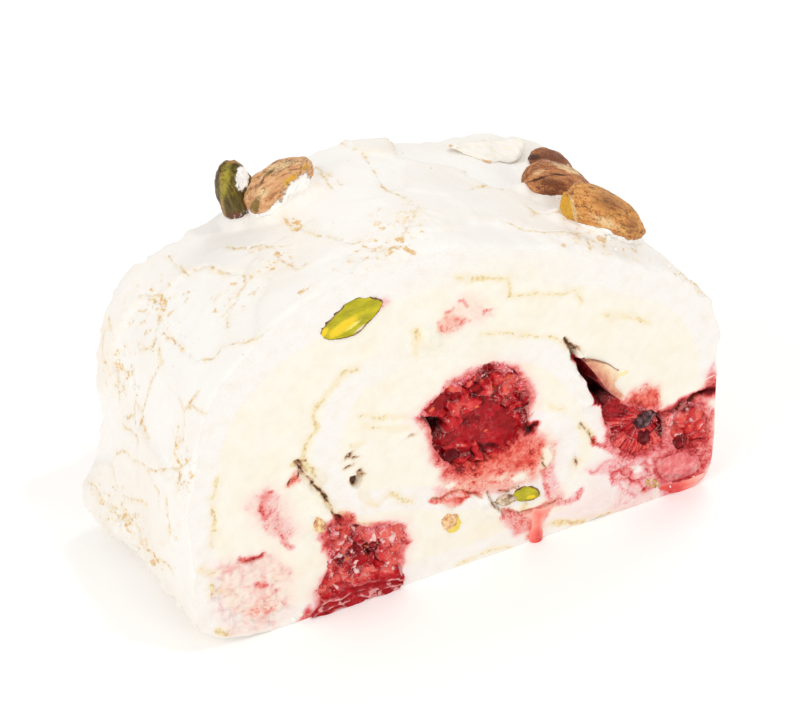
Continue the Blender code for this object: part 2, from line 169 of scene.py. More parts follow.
def inside(points, outline):
    """How far each point lies inside a closed outline; negative outside."""
    points, outline = np.asarray(points, float), np.asarray(outline, float)
    within = np.zeros(len(points), bool)
    following = np.roll(outline, -1, axis=0)
    for (x0, z0), (x1, z1) in zip(outline, following):
        if z0 != z1:
            crosses = (z0 > points[:, 1]) != (z1 > points[:, 1])
            within ^= crosses & (points[:, 0] < (x1 - x0) * (points[:, 1] - z0) / (z1 - z0) + x0)
    away = from_line(points, np.vstack([outline, outline[:1]]))
    return np.where(within, away, -away)


def curve(stations, places):
    """Points at fractional places on a smooth curve through the stations."""
    places = np.asarray(places, float)
    i = np.minimum(places.astype(int), len(stations) - 2)
    t = (places - i)[:, None]
    p1, p2 = stations[i], stations[i + 1]
    p0 = np.where((i > 0)[:, None], stations[i - 1], 2 * p1 - p2)
    beyond = np.minimum(i + 2, len(stations) - 1)
    p3 = np.where((i + 2 < len(stations))[:, None], stations[beyond], 2 * p2 - p1)
    return 0.5 * (2 * p1 + (p2 - p0) * t + (2 * p0 - 5 * p1 + 4 * p2 - p3) * t * t
                  + (3 * p1 - p0 - 3 * p2 + p3) * t ** 3)


def evenly(stations, start, end, step):
    """Places along the curve from start to end, a step apart."""
    fine = np.linspace(start, end, 4000)
    gone = np.linalg.norm(np.diff(curve(stations, fine)[:, :2], axis=0), axis=1)
    run = np.concatenate([[0], np.cumsum(gone)])
    return np.interp(np.linspace(0, run[-1], int(run[-1] / step) + 2), run, fine)


last_station = len(ROLL) - 1
rolled_in = evenly(ROLL, 0, BASE_STATION, SHEET_STEP)[:-1]
places = np.concatenate([rolled_in, evenly(ROLL, BASE_STATION, last_station, SHEET_STEP)])
crust_start = len(rolled_in)
middle = curve(ROLL, places)
ahead, behind = np.minimum(places + 0.02, last_station), np.maximum(places - 0.02, 0)
along = (curve(ROLL, ahead) - curve(ROLL, behind))[:, :2]
along /= np.linalg.norm(along, axis=1)[:, None]
inward = np.stack([along[:, 1], -along[:, 0]], 1)
outer = middle[:, :2] - inward * middle[:, 2:] / 2
inner = middle[:, :2] + inward * middle[:, 2:] / 2
run = np.concatenate([[0], np.cumsum(np.linalg.norm(np.diff(outer, axis=0), axis=1))])
run -= run[crust_start]
flat = (outer[:, 1] < 0.25) & (np.abs(inward[:, 1]) > 0.9)
outer[flat, 1] = 0.0
outer[:, 1] = np.maximum(outer[:, 1], 0.0)

# What the knife laid bare on the front cut. Outlines and lines are (across, up).
BERRY_CUTS = {
    "raspberry_centre": ((-8.1, 32.4), (-4.9, 34.9), (-1.8, 37.1), (1.1, 37.6), (5.8, 38.6), (9.1, 36.5),
        (11.3, 34), (13, 30.5), (13.4, 28), (12.6, 25.2), (11.8, 22), (9.7, 20.4), (6.3, 19.4), (2.5, 19.2),
        (-0.8, 20.2), (-3.8, 22.7), (-5.6, 25.7), (-6, 29)),
    "raspberry_lower_left": ((-24.8, 16.4), (-22.5, 17.4), (-20, 16.2), (-16.8, 14.4), (-13.6, 13.4),
        (-10.6, 12.4), (-9.8, 8.8), (-11, 5.7), (-10.8, 1.6), (-12.5, 0), (-18, 0), (-27.6, 0),
        (-26.2, 2.4), (-26.7, 5.7), (-24.8, 8.5), (-24.6, 12), (-23.8, 14.5)),
    "raspberry_right_inner": ((26.8, 20.4), (27.6, 22.4), (29.3, 23.2), (31.2, 22.3), (33.8, 20.8),
        (36.8, 19), (39.2, 17.2), (40.4, 14.5), (40.4, 12.2), (38.8, 11), (37.1, 10.4), (33, 10.8),
        (30.1, 12.8), (28.5, 15.3), (28, 18.2)),
    "raspberry_right_outer": ((40.7, 14.4), (41.9, 16.9), (44.7, 18), (47.1, 17), (48.6, 14.4), (48.8, 9.4),
        (46.5, 7.8), (43.5, 7.9), (41.1, 9.6), (40.5, 12.2)),
    "raspberry_right_lower": ((37.8, 8.7), (41.6, 8.3), (44.7, 7.6), (47.6, 5.8), (48.3, 3.9), (46.6, 2.1),
        (42.6, 1.9), (39.6, 3.4), (38.2, 6))}
NUT_CUTS = (
    ((-25.4, 53.7), (-24.3, 55.2), (-21.7, 57.1), (-19.5, 58.1), (-17.3, 57.8), (-15.8, 57.3),
        (-14.3, 56.2), (-14.9, 54.7), (-16.7, 53.2), (-18.9, 51.6), (-21.7, 51.6), (-24.3, 52.2)),
    ((9.9, 10.9), (10.7, 11.7), (12.1, 11.9), (13.6, 11.4), (14.9, 10.3), (15.1, 9.2), (13.6, 8.6),
        (11.4, 9.1), (10, 9.9)))
RIGHT_GAP = (
    (21.2, 34), (22.9, 33.4), (24.7, 30.8), (26.1, 28), (28.2, 25.3), (30.4, 22.9), (29.6, 20),
    (28.2, 18.6), (27.9, 19.5), (26.6, 21.5), (26.9, 23.2), (25.5, 24), (24.7, 26.1), (23.4, 28.9),
    (22, 31.7))
HOLES = (  # holes in the cream: middle, half width and height, lean in degrees, depth
    (-20.8, 29.3, 0.8, 0.22, 35, 1), (-19.6, 28.6, 0.5, 0.18, -20, 1), (-20.6, 27.4, 0.6, 0.2, 10, 1),
    (-19.4, 24, 0.8, 1.1, 25, 2.6), (-18.8, 25.7, 0.25, 0.6, 0, 1.6), (-18.3, 24.9, 0.6, 0.22, 20, 1.6),
    (-9.3, 29.2, 0.5, 0.14, 20, 0.5), (13, 23.4, 0.8, 0.6, 10, 2.4), (20.9, 34.6, 0.4, 1.2, 20, 3),
    (21.9, 13.4, 0.2, 0.7, 10, 0.5))
CRACKS = (  # torn cracks in the cut: half width, depth, then the line
    (0.22, 2.2, ((-29.6, 31.2), (-29.2, 30), (-28.9, 28.6), (-27.5, 27), (-26.2, 24.9), (-25.3, 23.6),
        (-24.9, 22.2), (-23.9, 20.4), (-23.6, 19), (-21.6, 17.2))),
    (0.12, 1.2, ((-29.2, 29.8), (-30.2, 28.6), (-31.4, 27.4))), (0.16, 1, ((-29.9, 31.2), (-28.3, 31))),
    (0.1, 1.2, ((-5.5, 15.8), (-4, 14.9), (-2.8, 15.3), (-0.6, 15.7), (1.3, 14.6), (3.6, 13.2))),
    (0.12, 1.2, ((5.1, 13.3), (6.1, 10.5), (7.5, 8.8), (8.1, 7.4))),
    (0.1, 0.9, ((7.4, 12.5), (9, 11.7), (11.2, 12.3))), (0.28, 1.5, ((19, 38.5), (20, 36.6), (20.9, 34.6))),
    (0.14, 0.9, ((19.6, 37.9), (23, 34.6))),
    (0.12, 0.9, ((22.5, 21.2), (23.4, 20), (24.6, 18.2), (25.7, 15.8))),
    (0.1, 0.7, ((15.1, 17.6), (15.4, 15.6), (15.9, 14.2))),
    (0.45, 3.2, ((41.6, 16.6), (42.7, 17.7), (44.4, 18.2), (46.3, 18.8), (48.5, 18.9))),
    (0.1, 0.8, ((9, 8.3), (11.4, 6.6), (15.3, 6.4), (18.8, 6.8))),
    (0.1, 0.7, ((-39.9, 15.8), (-38.1, 15), (-35.8, 15.4))))
LIFTED = (  # flaps and wedges of cream that stand out: height, softness, outline
    (0.7, 0.35, ((1.7, 13.3), (4.7, 13.4), (5.9, 10.6), (7.9, 7.9), (7.5, 7.2), (3.6, 10.2))),
    (0.7, 0.3, ((14.9, 17.9), (16.7, 18.1), (17.7, 16.1), (15.8, 14), (15.2, 15.4))),
    (0.6, 0.3, ((-0.2, 14.9), (1.4, 14.7), (1.8, 13.6), (0.1, 13.9))),
    (0.5, 0.3, ((-4.4, 14.8), (-2.1, 14.9), (0.1, 13.2), (-1.6, 12.5))),
    (0.6, 0.4, ((-8, 49.4), (-4.7, 48.3), (-4.2, 44.9), (-6.5, 46.1))),
    (0.7, 0.3, ((20.6, 33.2), (22, 31.7), (23.4, 28.9), (24.6, 26.1), (25.4, 24), (23.4, 24.2),
        (21.4, 29.6))),
    (0.7, 0.5, ((-28.9, 30.6), (-25.9, 26.2), (-24.2, 22.2), (-22.9, 19), (-25.6, 18), (-28, 24),
        (-30.2, 28.6))))
CRUMBLY = (
    (-45, 17.2), (-40.2, 16.6), (-34.9, 16), (-31.4, 10.8), (-31, 3.6), (-34.7, 0.3), (-42.4, 2.1),
    (-45.8, 9.5))
CLEAN = (  # torn tips of white cream that the juice did not reach
    ((14.9, 18.2), (16.5, 18.6), (17.4, 16.8), (16.2, 14.6), (15.3, 14.4), (15, 16)),
    ((1.9, 13.2), (4.6, 13.3), (5.8, 10.8), (7.7, 8.1), (6.4, 7.8), (3.6, 10.4)),
    ((9.6, 14.6), (11.8, 15), (12.6, 13.6), (10.2, 13.4)),
    ((-3.4, 17.6), (-1.6, 18), (-0.6, 16.8), (-2.4, 16.2)),
    ((32.8, 8.8), (34.4, 9), (34.8, 7.6), (33.2, 7.2)))
LUMPY = (
    (28.8, 10.3), (32, 9.9), (35.6, 10.2), (38.2, 8), (39.2, 4.6), (38.8, 2.6), (35.2, 2.6), (32.6, 4.7),
    (29.7, 7.4))
SWELLS = (  # places where the soft cut stands out: middle, radii, height
    (18.3, 22.3, 3.4, 3, 0.5), (35, 6.5, 3.2, 3.6, 0.5), (-7, 47.5, 1.4, 2.6, 0.5),
    (4.2, 11.8, 1.4, 1.2, 0.6), (-19, 13, 3, 1, 0.3), (-30, 10, 3.4, 7, 0.4), (26, 4.5, 5, 3, 0.4))
ROUGH_PLACES = (
    (-39, 8, 8, 9), (7, 14, 11, 5), (34, 7, 6, 6), (-33, 22, 4, 6), (3, 47.5, 5, 2), (-26, 17, 2.5, 3))

STAINS = (  # juice in the cut: strength, softness of the edge, outline
    (1.15, 0.4, RIGHT_GAP),
    (0.5, 1.5, ((-5.8, 25), (-4.4, 21.7), (-4, 19.6), (-1.4, 17.6), (2.2, 16.7), (6.4, 16.4), (9.8, 15.6),
        (14.2, 14.4), (15.4, 16.9), (16.4, 19), (15.6, 21.6), (12.8, 23.3), (9.1, 23.3))),
    (0.25, 1.2, ((-4.8, 20.5), (-3.6, 16.2), (1.2, 14.2), (4.6, 13.8), (8, 12.4), (14.6, 12), (18.2, 14.6),
        (18.8, 19.4), (15, 21))),
    (0.32, 0.8, ((-5, 18), (-5.2, 15.6), (-1, 14.4), (1.6, 14.2), (4.4, 12.8), (8.8, 12), (10.4, 13.8),
        (4, 15.8), (0, 17))),
    (0.3, 0.8, ((0.9, 18.4), (3.5, 17.4), (5.1, 14.9), (3.2, 14.8), (1.7, 16.5))),
    (0.26, 1.1, ((7.3, 18.6), (9.6, 18.9), (14.5, 18.3), (14.2, 15.8), (9.6, 16.6))),
    (0.62, 0.5, ((-4.3, 14.8), (-2.1, 14.8), (1.5, 14.7), (1.7, 13.6), (-0.2, 13))),
    (0.3, 1, ((15.4, 14.8), (15.7, 11.9), (16.3, 9.3), (16.6, 6), (20.9, 5.7), (19.2, 8.4), (18.4, 11.8),
        (17.5, 15.2))),
    (0.42, 1.1, ((7.7, 8.1), (9.8, 8.2), (13.3, 6.3), (15.5, 6.4), (14.2, 2.4), (11.6, 2.4), (8.5, 4.9))),
    (0.52, 0.9, ((13.6, 6.4), (16.2, 6.4), (18.6, 6.4), (16.4, 3.6), (16.1, 0.4), (13.2, 0.4),
        (13.4, 3.3))),
    (0.12, 2.2, ((18.2, 5.4), (25, 8), (28.4, 9.6), (30, 5), (34.8, 0.1), (27.3, -1.5), (21.8, 0.8),
        (17.3, 3.3))),
    (0.3, 1.4, ((24, 11), (27.7, 12.2), (33.9, 11.6), (39.1, 10.2), (40.2, 5), (37.4, 1.4), (32.6, 4),
        (29.4, 7.6))),
    (0.2, 1.8, ((30, 6.4), (33.9, 4), (38.8, 1.6), (38.4, -2.8), (33.1, -2.6), (28.4, 1.3))),
    (0.5, 1, ((37.9, 11.9), (49.5, 10.7), (49.8, 4.6), (48.5, -1), (40, -1), (38, 4))),
    (1.2, 0.3, ((11.6, 24.4), (13.2, 24.8), (14.6, 23.8), (14, 22.2), (12, 22))),
    (0.3, 1, ((-4.9, 48.3), (-3.8, 50.9), (-2, 50.6), (-0.6, 48.8), (0.9, 47.7), (-0.6, 46.3),
        (-3.8, 47.1))),
    (0.17, 1.6, ((-3.8, 50.8), (0.2, 53.2), (3.9, 50.3), (5, 47), (1.2, 46.9))),
    (0.26, 0.8, ((3.9, 48.1), (5.9, 47.5), (5.4, 46.3))),
    (0.3, 1, ((28.2, 25.8), (30, 24.6), (31.2, 23.4), (32.6, 24.6), (34.2, 23.8), (35.4, 24.9), (36.8, 24),
        (38.4, 23.6), (38.8, 20.8), (39.8, 19), (38.4, 17.5), (32.7, 19.2), (30, 22))),
    (0.52, 0.6, ((31.6, 22.4), (33.2, 23), (34.6, 22.3), (35.8, 23.6), (37.6, 22.6), (38.2, 20.4),
        (38.6, 18.6), (33, 19.6))),
    (0.6, 1.4, ((46.6, 20.6), (49, 24), (50.5, 17.5), (44.3, 16.6))),
    (0.52, 1, ((-37, 26.8), (-34.9, 28), (-35.4, 25.6), (-36.4, 23.6), (-35.9, 22.2))),
    (0.34, 2.4, ((-38.6, 27), (-35.1, 28.6), (-32.1, 23.9), (-29.9, 18.1), (-31.4, 15.8), (-36.2, 20.3))),
    (0.09, 2.6, ((-44.6, 16.8), (-40.2, 17.1), (-33.9, 16.2), (-30.5, 10.8), (-30.7, 3.6), (-36.7, -0.7),
        (-42.4, 3.1), (-44.8, 11.5))),
    (0.6, 1, ((-37.3, -2), (-30.8, 0.2), (-27.6, 2.6), (-27.2, -2))),
    (0.62, 0.8, ((-25.6, 15.6), (-23.2, 18), (-19.5, 17), (-21, 13), (-25.6, 13))),
    (0.5, 1, ((-31.6, 27.2), (-29.9, 29.5), (-29, 27.7), (-30.6, 26.6))),
    (0.32, 0.6, ((-15.4, 57.3), (-13.6, 57), (-12.8, 55.7), (-13.8, 54.6), (-15, 55.6))))
CORAL = (
    (4, 16.5, 9, 5), (12, 17.5, 7, 4), (-1.5, 13.8, 4, 2), (15, 3, 3, 5), (34.5, 21.5, 6, 3),
    (-3, 49, 4, 3), (-38, 3, 5, 4), (-30.6, 28, 2.5, 2.5))
STREAKS = (  # strength, half width, line
    (0.6, 0.26, ((-34.4, 26.9), (-36.2, 26.2), (-36.8, 24.6), (-35.9, 22.9), (-35.2, 23.4))),
    (0.5, 0.24, ((-33.8, 20.8), (-32.5, 17.9), (-31.4, 16.2), (-30.5, 15.2))),
    (0.55, 0.2, ((-5.5, 15.8), (-4, 14.9), (-2.8, 15.3), (-0.6, 15.7), (1.3, 14.6), (3.6, 13.2))),
    (0.5, 0.26, ((15.5, 14.4), (15.9, 11.9), (16.7, 9.3), (17.8, 6.4))),
    (0.5, 0.25, ((9, 8.3), (11.4, 6.6), (15.3, 6.4), (18.8, 6.8))),
    (0.6, 0.25, ((-40.4, 15.9), (-38.1, 15.3), (-36, 15.6))),
    (0.6, 0.25, ((25.2, 16.8), (25.9, 15.4), (28.3, 14.6))),
    (0.45, 0.22, ((25.5, 10.6), (27.2, 10.8), (29.2, 11.4), (30.8, 11.2))),
    (0.4, 0.25, ((19.2, 6.3), (22.3, 6.4), (24, 7.6))), (0.46, 0.3, ((-37.6, 10.6), (-36, 9.8))),
    (0.9, 0.6, ((38.6, 17.6), (41.6, 17), (42.9, 18), (45, 18.9), (49.5, 19.2))),
    (0.55, 0.22, ((31, 9.6), (33.2, 6), (35.5, 3.6), (38.6, 2.6))),
    (0.4, 0.2, ((29.4, 8.8), (30.6, 5.6), (34, 2.4))), (0.6, 0.25, ((29.6, 7), (30.1, 8.2), (30.9, 9.1))),
    (0.72, 0.08, ((1.6, 18.9), (2.3, 17.4), (2, 16.2), (3, 15))),
    (0.72, 0.08, ((5.4, 18.8), (6.3, 17), (6, 14.8))), (0.66, 0.08, ((10, 19.3), (10.7, 17), (10.2, 14.6))),
    (0.62, 0.06, ((2.2, 17.4), (4, 16.8), (6.2, 17), (8.4, 16.2))),
    (0.6, 0.06, ((-2.6, 18.4), (-1, 17), (-1.4, 15.6))),
    (0.42, 0.1, ((-4.6, 48.6), (-3.4, 49.8), (-1.8, 49.4), (-0.8, 47.9), (0.8, 47.6))),
    (0.5, 0.06, ((-3.6, 50.8), (-1.2, 51.4), (1, 50.6))),
    (0.5, 0.06, ((3.6, 48.4), (5, 47.9), (6.2, 48.2))),
    (0.6, 0.06, ((13.2, 19.6), (13.8, 17.6), (13.2, 15.6), (13.9, 13.6))))
TAN_LINES = (  # browned skin of the rolled-in sheet: half width, line
    (0.3, ((-19.1, 45.3), (-20.8, 45.6), (-23.8, 42.9), (-26.8, 40.1), (-26.2, 36.8), (-28, 34.3),
        (-29.3, 30.9))),
    (0.55, ((-30.4, 31.2), (-28.6, 30.3), (-26.6, 28.2), (-25.4, 26.4))),
    (0.22, ((-28.8, 31), (-27.6, 26.9), (-25.9, 24.2), (-24.5, 21.8), (-23.2, 19.2), (-20.2, 16.7),
        (-15.1, 14.1))),
    (0.22, ((3.1, 44.4), (6.8, 43.7), (11.5, 42), (14.3, 40.9), (18.1, 38.7), (19.9, 37))),
    (0.28, ((-0.7, 56.2), (4.4, 54.6), (8.1, 53.5))), (0.3, ((8.1, 53.5), (8.5, 50))),
    (0.2, ((8.5, 50), (13.3, 48.9), (20.8, 47), (21.7, 44.8))), (0.35, ((-46.6, 16.9), (-45.2, 15.2))),
    (0.3, ((-45.7, 13), (-45.4, 11.1), (-43.9, 11.2))), (0.4, ((-44.5, 3.9), (-42.5, 1.9))),
    (0.35, ((-18.4, 21.3), (-17.2, 19.3), (-15.7, 17.9))), (0.25, ((-20.4, 31.3), (-18.6, 30.7))),
    (0.28, ((-14.1, 19.2), (-12.6, 19.4), (-10.8, 17.6), (-9.1, 16.5))), (0.22, ((16.6, 26.5), (19, 25.3))),
    (0.3, ((22.7, 20.8), (23.4, 20), (24.6, 18.2), (25.9, 15.6))),
    (0.22, ((-0.4, 0.6), (1.9, 0.9), (4.4, 1.1), (9.6, 0.3))),
    (0.45, ((17.6, 2.2), (22, 1), (26, 0.4), (29.3, 0.1))), (0.4, ((-8.7, 49.1), (-8.4, 45.1))),
    (0.12, ((-18.6, 36.1), (-10.2, 33.3))), (0.12, ((-18, 34.3), (-10.2, 31.1))),
    (0.5, ((21.6, 13.4), (22.3, 13.2))), (0.5, ((12.2, 8), (12.8, 7))),
    (0.3, ((26.6, 40.8), (32.4, 38.5), (35.5, 36.6))), (0.25, ((-44.9, 20.5), (-44.6, 27), (-43.6, 33))))
CREAMY_RING = (1, 48, 17, 9)  # the top of the rolled-in sheet is soaked with cream
PLAIN_FOOT = (33, 4, 13, 10)   # the cut is whitest at the foot on the right
BERRY_BED = 4.0                        # depth of the bed in the cut that holds a berry


def blob(points, x, z, across, up, lean=0.0):
    """1 at the middle of a leaning oval, falling softly to 0 past its edge."""
    turn = math.radians(lean)
    dx, dz = points[:, 0] - x, points[:, 1] - z
    along_it = dx * math.cos(turn) + dz * math.sin(turn)
    over_it = dz * math.cos(turn) - dx * math.sin(turn)
    return np.exp(-(along_it / across) ** 2 - (over_it / up) ** 2)


def front_relief(points):
    """How far the front cut lies behind the knife's plane at each (across, up)."""
    wavy = points + 0.35 * jitter(points, 1.6, 5, 9)
    depth = 0.16 * lumps(points, 7.0, 3) + 0.05 * lumps(points, 1.8, 4, 3)
    rough = sum(blob(points, *place) for place in ROUGH_PLACES)
    depth += np.minimum(rough, 1.0) * (0.35 * np.abs(lumps(points, 1.5, 21, 3)) - 0.1)
    for outline in BERRY_CUTS.values():
        depth += BERRY_BED * smooth(0.3, 0.9, inside(wavy, outline))
    for outline in NUT_CUTS:
        depth += 1.6 * smooth(0.2, 0.6, inside(points, outline))
    depth = np.maximum(depth, 7.0 * smooth(0.0, 0.6, inside(wavy, RIGHT_GAP)))
    for x, z, across, up, lean, deep in HOLES:
        depth += 0.45 * deep * smooth(0.25, 0.5, blob(wavy, x, z, across, up, lean))
    for half_width, deep, line in CRACKS:
        depth += 0.4 * deep * (1 - smooth(0.2 * half_width, 1.2 * half_width + 0.2, from_line(wavy, line)))
    for x, z, across, up, height in SWELLS:
        depth -= height * blob(points, x, z, across, up)
    for height, soft, outline in LIFTED:
        within = inside(wavy, outline)
        depth -= height * smooth(-soft, soft, within) * smooth(3.5, 0.0, within)
    lumpy = smooth(-0.4, 0.6, inside(wavy, LUMPY))
    first, second, _, _ = cells(wavy, 3.0, 26)
    depth -= lumpy * (1.0 * np.sqrt(np.clip((second - first) / 2.0, 0, 1)) - 0.45)
    crumbly = smooth(-1.2, 1.2, inside(wavy, CRUMBLY))
    first, second, level, _ = cells(wavy, 1.9, 28)
    depth -= crumbly * (0.5 * np.sqrt(np.clip((second - first) / 1.2, 0, 1)) + 0.7 * (level - 0.5) - 0.2)
    return depth


BACK_BERRIES = {  # middle of the cut through each berry behind, its half width and height, and a seed
    "raspberry_back_centre": (-2.5, 29.5, 9.8, 9.2, 17), "raspberry_back_left": (-35.4, 31, 5.4, 6.9, 19),
    "raspberry_back_lower": (-30, 11.2, 7.3, 6.7, 29), "raspberry_back_right": (38, 14.5, 7.1, 7.3, 23)}
for name, (x, z, across, up, seed) in BACK_BERRIES.items():
    BACK_BERRIES[name] = tuple(
        (x + across * swell * math.cos(turn), max(z + up * swell * math.sin(turn), 0.1))
        for turn, swell in ((k * math.tau / 26, 1.0 + 0.07 * math.sin(3 * k * math.tau / 26 + seed)
                             + 0.05 * math.sin(7 * k * math.tau / 26 + 2 * seed)) for k in range(26)))


def back_relief(points):
    """The same for the back cut, which the knife left plainer."""
    wavy = points + 0.35 * jitter(points, 1.6, 51, 52)
    depth = 0.2 * lumps(points, 7.0, 53) + 0.06 * lumps(points, 1.8, 54, 3)
    depth += 0.35 * smooth(0.1, 0.8, lumps(points, 9.0, 55)) * np.abs(lumps(points, 1.5, 56, 3))
    for outline in BACK_BERRIES.values():
        depth += BERRY_BED * smooth(0.0, 0.9, inside(wavy, outline))
    pits = smooth(0.55, 0.75, lumps(points, 3.4, 57, 2)) * smooth(0.1, 0.6, lumps(points, 14.0, 58))
    return depth + 1.1 * pits


def near_sheet(points):
    """Distance of each point on a cut to the edge of the sheet's own cut."""
    borders = np.concatenate([inner, outer[:crust_start + 16]])
    least = [np.hypot(part[:, :1] - borders[:, 0], part[:, 1:] - borders[:, 1]).min(1)
             for part in np.array_split(points, 40)]
    return np.concatenate(least)


def cut_marks(points, back, in_sheet):
    """Juice, richness of the cream, distances to browned skin and to the pits that are painted
    with shade, and how orange the juice is, at each place of a cut."""
    shake = jitter(points, 2.6, 31 + back, 35 + back)
    wavy = points + 0.7 * shake
    juice = np.zeros(len(points))
    tan = np.full(len(points), 9.0)
    for outline in (BACK_BERRIES if back else BERRY_CUTS).values():
        away = -inside(wavy, outline)
        juice = np.maximum(juice, 0.34 * smooth(0.9, -0.2, away) + 0.20 * smooth(2.6, 0.0, away))
    if back:
        near = np.min([-inside(wavy, outline) for outline in BACK_BERRIES.values()], axis=0)
        wet = smooth(-0.1, 1.1, lumps(points, 8.0, 37, 3) + 0.25) * smooth(11, 1, near)
        juice = np.maximum(juice, 0.42 * wet) + 0.16 * smooth(7, 0, near) * (1 - wet)
        juice = juice + 0.25 * smooth(0.55, 1.2, lumps(points, 6.0, 43, 2) + 0.1)
        tan = near_sheet(wavy) + 1.6 * smooth(0.3, -0.3, lumps(points, 7.0, 39, 2))
    else:
        for strength, soft, outline in STAINS:
            stain = strength * smooth(-soft, soft, inside(wavy, outline))
            juice = np.maximum(juice, stain) + 0.3 * np.minimum(juice, stain)
        for strength, half_width, line in STREAKS:
            near = smooth(2.6 * half_width + 0.2, 0.5 * half_width, from_line(wavy, line))
            juice = np.maximum(juice, strength * near)
        first, second, _, _ = cells(points + 0.35 * shake, 3.0, 26)
        juice += 0.22 * smooth(-0.2, 0.6, inside(wavy, LUMPY)) * smooth(0.3, 0.05, (second - first) / 2)
        first, second, level, _ = cells(wavy, 1.9, 28)
        speckled = (0.07 + 0.05 * lumps(points, 4.0, 49, 2)
                    + 0.08 * smooth(0.0, 0.8, lumps(points, 1.3, 29, 3))
                    + 0.08 * smooth(0.35, 0.8, lumps(points, 0.7, 53, 2)) + 0.04 * (level - 0.6)
                    + 0.05 * smooth(0.35, 0.05, (second - first) / 2))
        juice += smooth(-1.2, 1.2, inside(wavy, CRUMBLY)) * speckled
        for outline in CLEAN:
            juice *= 1 - 0.9 * smooth(-0.3, 0.4, inside(points + 0.3 * shake, outline))
        for half_width, line in TAN_LINES:
            tan = np.minimum(tan, from_line(points + 0.4 * shake, line) - half_width)
    edge = near_sheet(wavy) * np.where(in_sheet, -1.0, 1.0)
    rich = smooth(-1.1, 0.9, edge)
    rich = np.maximum(rich, np.minimum(1.0, 1.6 * blob(points, *CREAMY_RING)) * 0.85)
    rich *= 1 - np.minimum(1.0, 1.5 * blob(points, *PLAIN_FOOT))
    # Distance to the holes and cracks, whose shade is painted into the colour.
    pit = np.full(len(points), 9.0)
    if not back:
        fray = points + 0.3 * jitter(points, 1.1, 45, 47)
        for half_width, _, line in CRACKS:
            pit = np.minimum(pit, from_line(fray, line) - half_width)
        for x, z, across, up, lean, _ in HOLES:
            oval = np.sqrt(-np.log(np.maximum(blob(points + 0.3 * shake, x, z, across, up, lean), 1e-12)))
            pit = np.minimum(pit, (oval - 1) * min(across, up))
    coral = np.full(len(points), 0.5)
    if not back:
        coral = np.minimum(sum(blob(wavy, *place) for place in CORAL), 1.0)
    texture = np.abs(lumps(points, 1.5, 21, 3)) - 0.35
    juice = juice * (1 + 0.3 * texture)
    return {"juice": np.clip(juice, 0, 1), "rich": rich, "tan": tan, "pit": pit, "coral": coral}


# The crust: plates that parted where the sheet was bent. Its places are (distance along the
# crust from its start under the slice, place from front to back).
PLATE_SIZE, PLATE_JITTER = 13.0, 4.5
PLATE_STEP = 0.5
CRUST_CRACKS = (
    ((134.1, 17), (134, 12.8), (134.5, 7.9)),
    ((135.8, 8.5), (138.2, 5.7), (139.3, 1.2), (142, -3), (137.7, -7), (135.6, -7.6), (134.1, -10.8)),
    ((142.5, 9), (145.3, 3.8), (147.3, 3.2), (148.3, 0.1), (147.8, -5.5), (148.4, -10.5), (150.8, -10.2)),
    ((126.2, -10.8), (128.7, -14.2), (132, -14.6), (133.5, -16.1), (135.9, -19.5), (137.6, -20.5)),
    ((125.1, 13.8), (129.2, 8.6), (126.8, 8.9), (126, 4.9), (124.1, 2.9), (125.3, -0.9), (126.2, -10.8)),
    ((119.2, 6), (121.3, 2.2), (124.1, 2.9)), ((115.7, 18.7), (110.5, 17.5), (111.9, 13.1), (106.4, 11.2)),
    ((111.7, 11.9), (114.6, 6.7), (112.7, 5.2), (107.9, 3.7), (104.9, 8.1)),
    ((103.5, 7.9), (105, 2.3), (103.8, 0.5), (107.9, 3.7)),
    ((96.3, 11), (99.8, 6), (99.6, 3.4), (102.7, -2.3), (103.1, -4.7), (106.1, -10.5), (109.8, -15.9)),
    ((102.6, -2.4), (101.9, -5.9), (101, -8.6), (97.6, -8.3)), ((92.9, 12.2), (89.2, 8.5), (95.1, -3)),
    ((85.9, 20), (86.7, 16.9), (85.8, 14), (87.3, 7), (87, 3.2), (85.8, -3.1), (88, -12)),
    ((173.7, 15), (171.2, 0.9), (173.2, -6), (170.3, -9.7), (165, -15)), ((164.5, 17.6), (165.6, 6.4)),
    ((156.2, -6.2), (157.4, -9.6), (159.3, -11.5)),
    ((153.4, 6.9), (153.3, 3.8), (153.6, -0.2), (156.2, -6.2)), ((201.4, -14.7), (198.5, -20.5)),
    ((219.5, -20.5), (223.5, -18), (228.5, -19)), ((186, -12), (192, -15.5), (201.4, -14.7)))
CRUMBLED = (
    (127, 8, 6, 7), (86, 5, 6, 12), (147, -3, 5, 6), (169, -10, 6, 6), (112, 12, 7, 6), (137, -6, 4, 5),
    (200, -17, 7, 3.5), (222, -18, 6, 3.5))
BROWNED = (  # cooked sugar: along the crust, from front to back, radii, strength
    (127.4, 7, 1, 2.2, 1.4), (125.4, 3.2, 1.4, 1, 1), (153.6, 3, 1, 2.6, 2.6), (172.2, -4.6, 0.7, 2.6, 0.9),
    (146.6, -17.6, 1.8, 0.8, 1.4), (147.6, -2.6, 0.8, 1.8, 1.1), (167.6, -8.4, 1.4, 1.2, 0.8),
    (87, 6, 1, 2.4, 1.2), (86.4, -7, 1, 2.2, 1.1), (76, -12, 3, 3, 1), (96, -14, 1.2, 1.2, 0.9),
    (112.6, 12.4, 1.6, 1.4, 1.2), (221, -18.6, 2.2, 0.7, 1.1), (164.2, -18.2, 0.9, 1.8, 2.4),
    (165.6, -14.8, 0.9, 1.2, 1.2), (139, -2, 0.8, 1.6, 1), (193.8, 14.8, 0.7, 1.6, 1.3),
    (206, 16.6, 1, 0.8, 1))
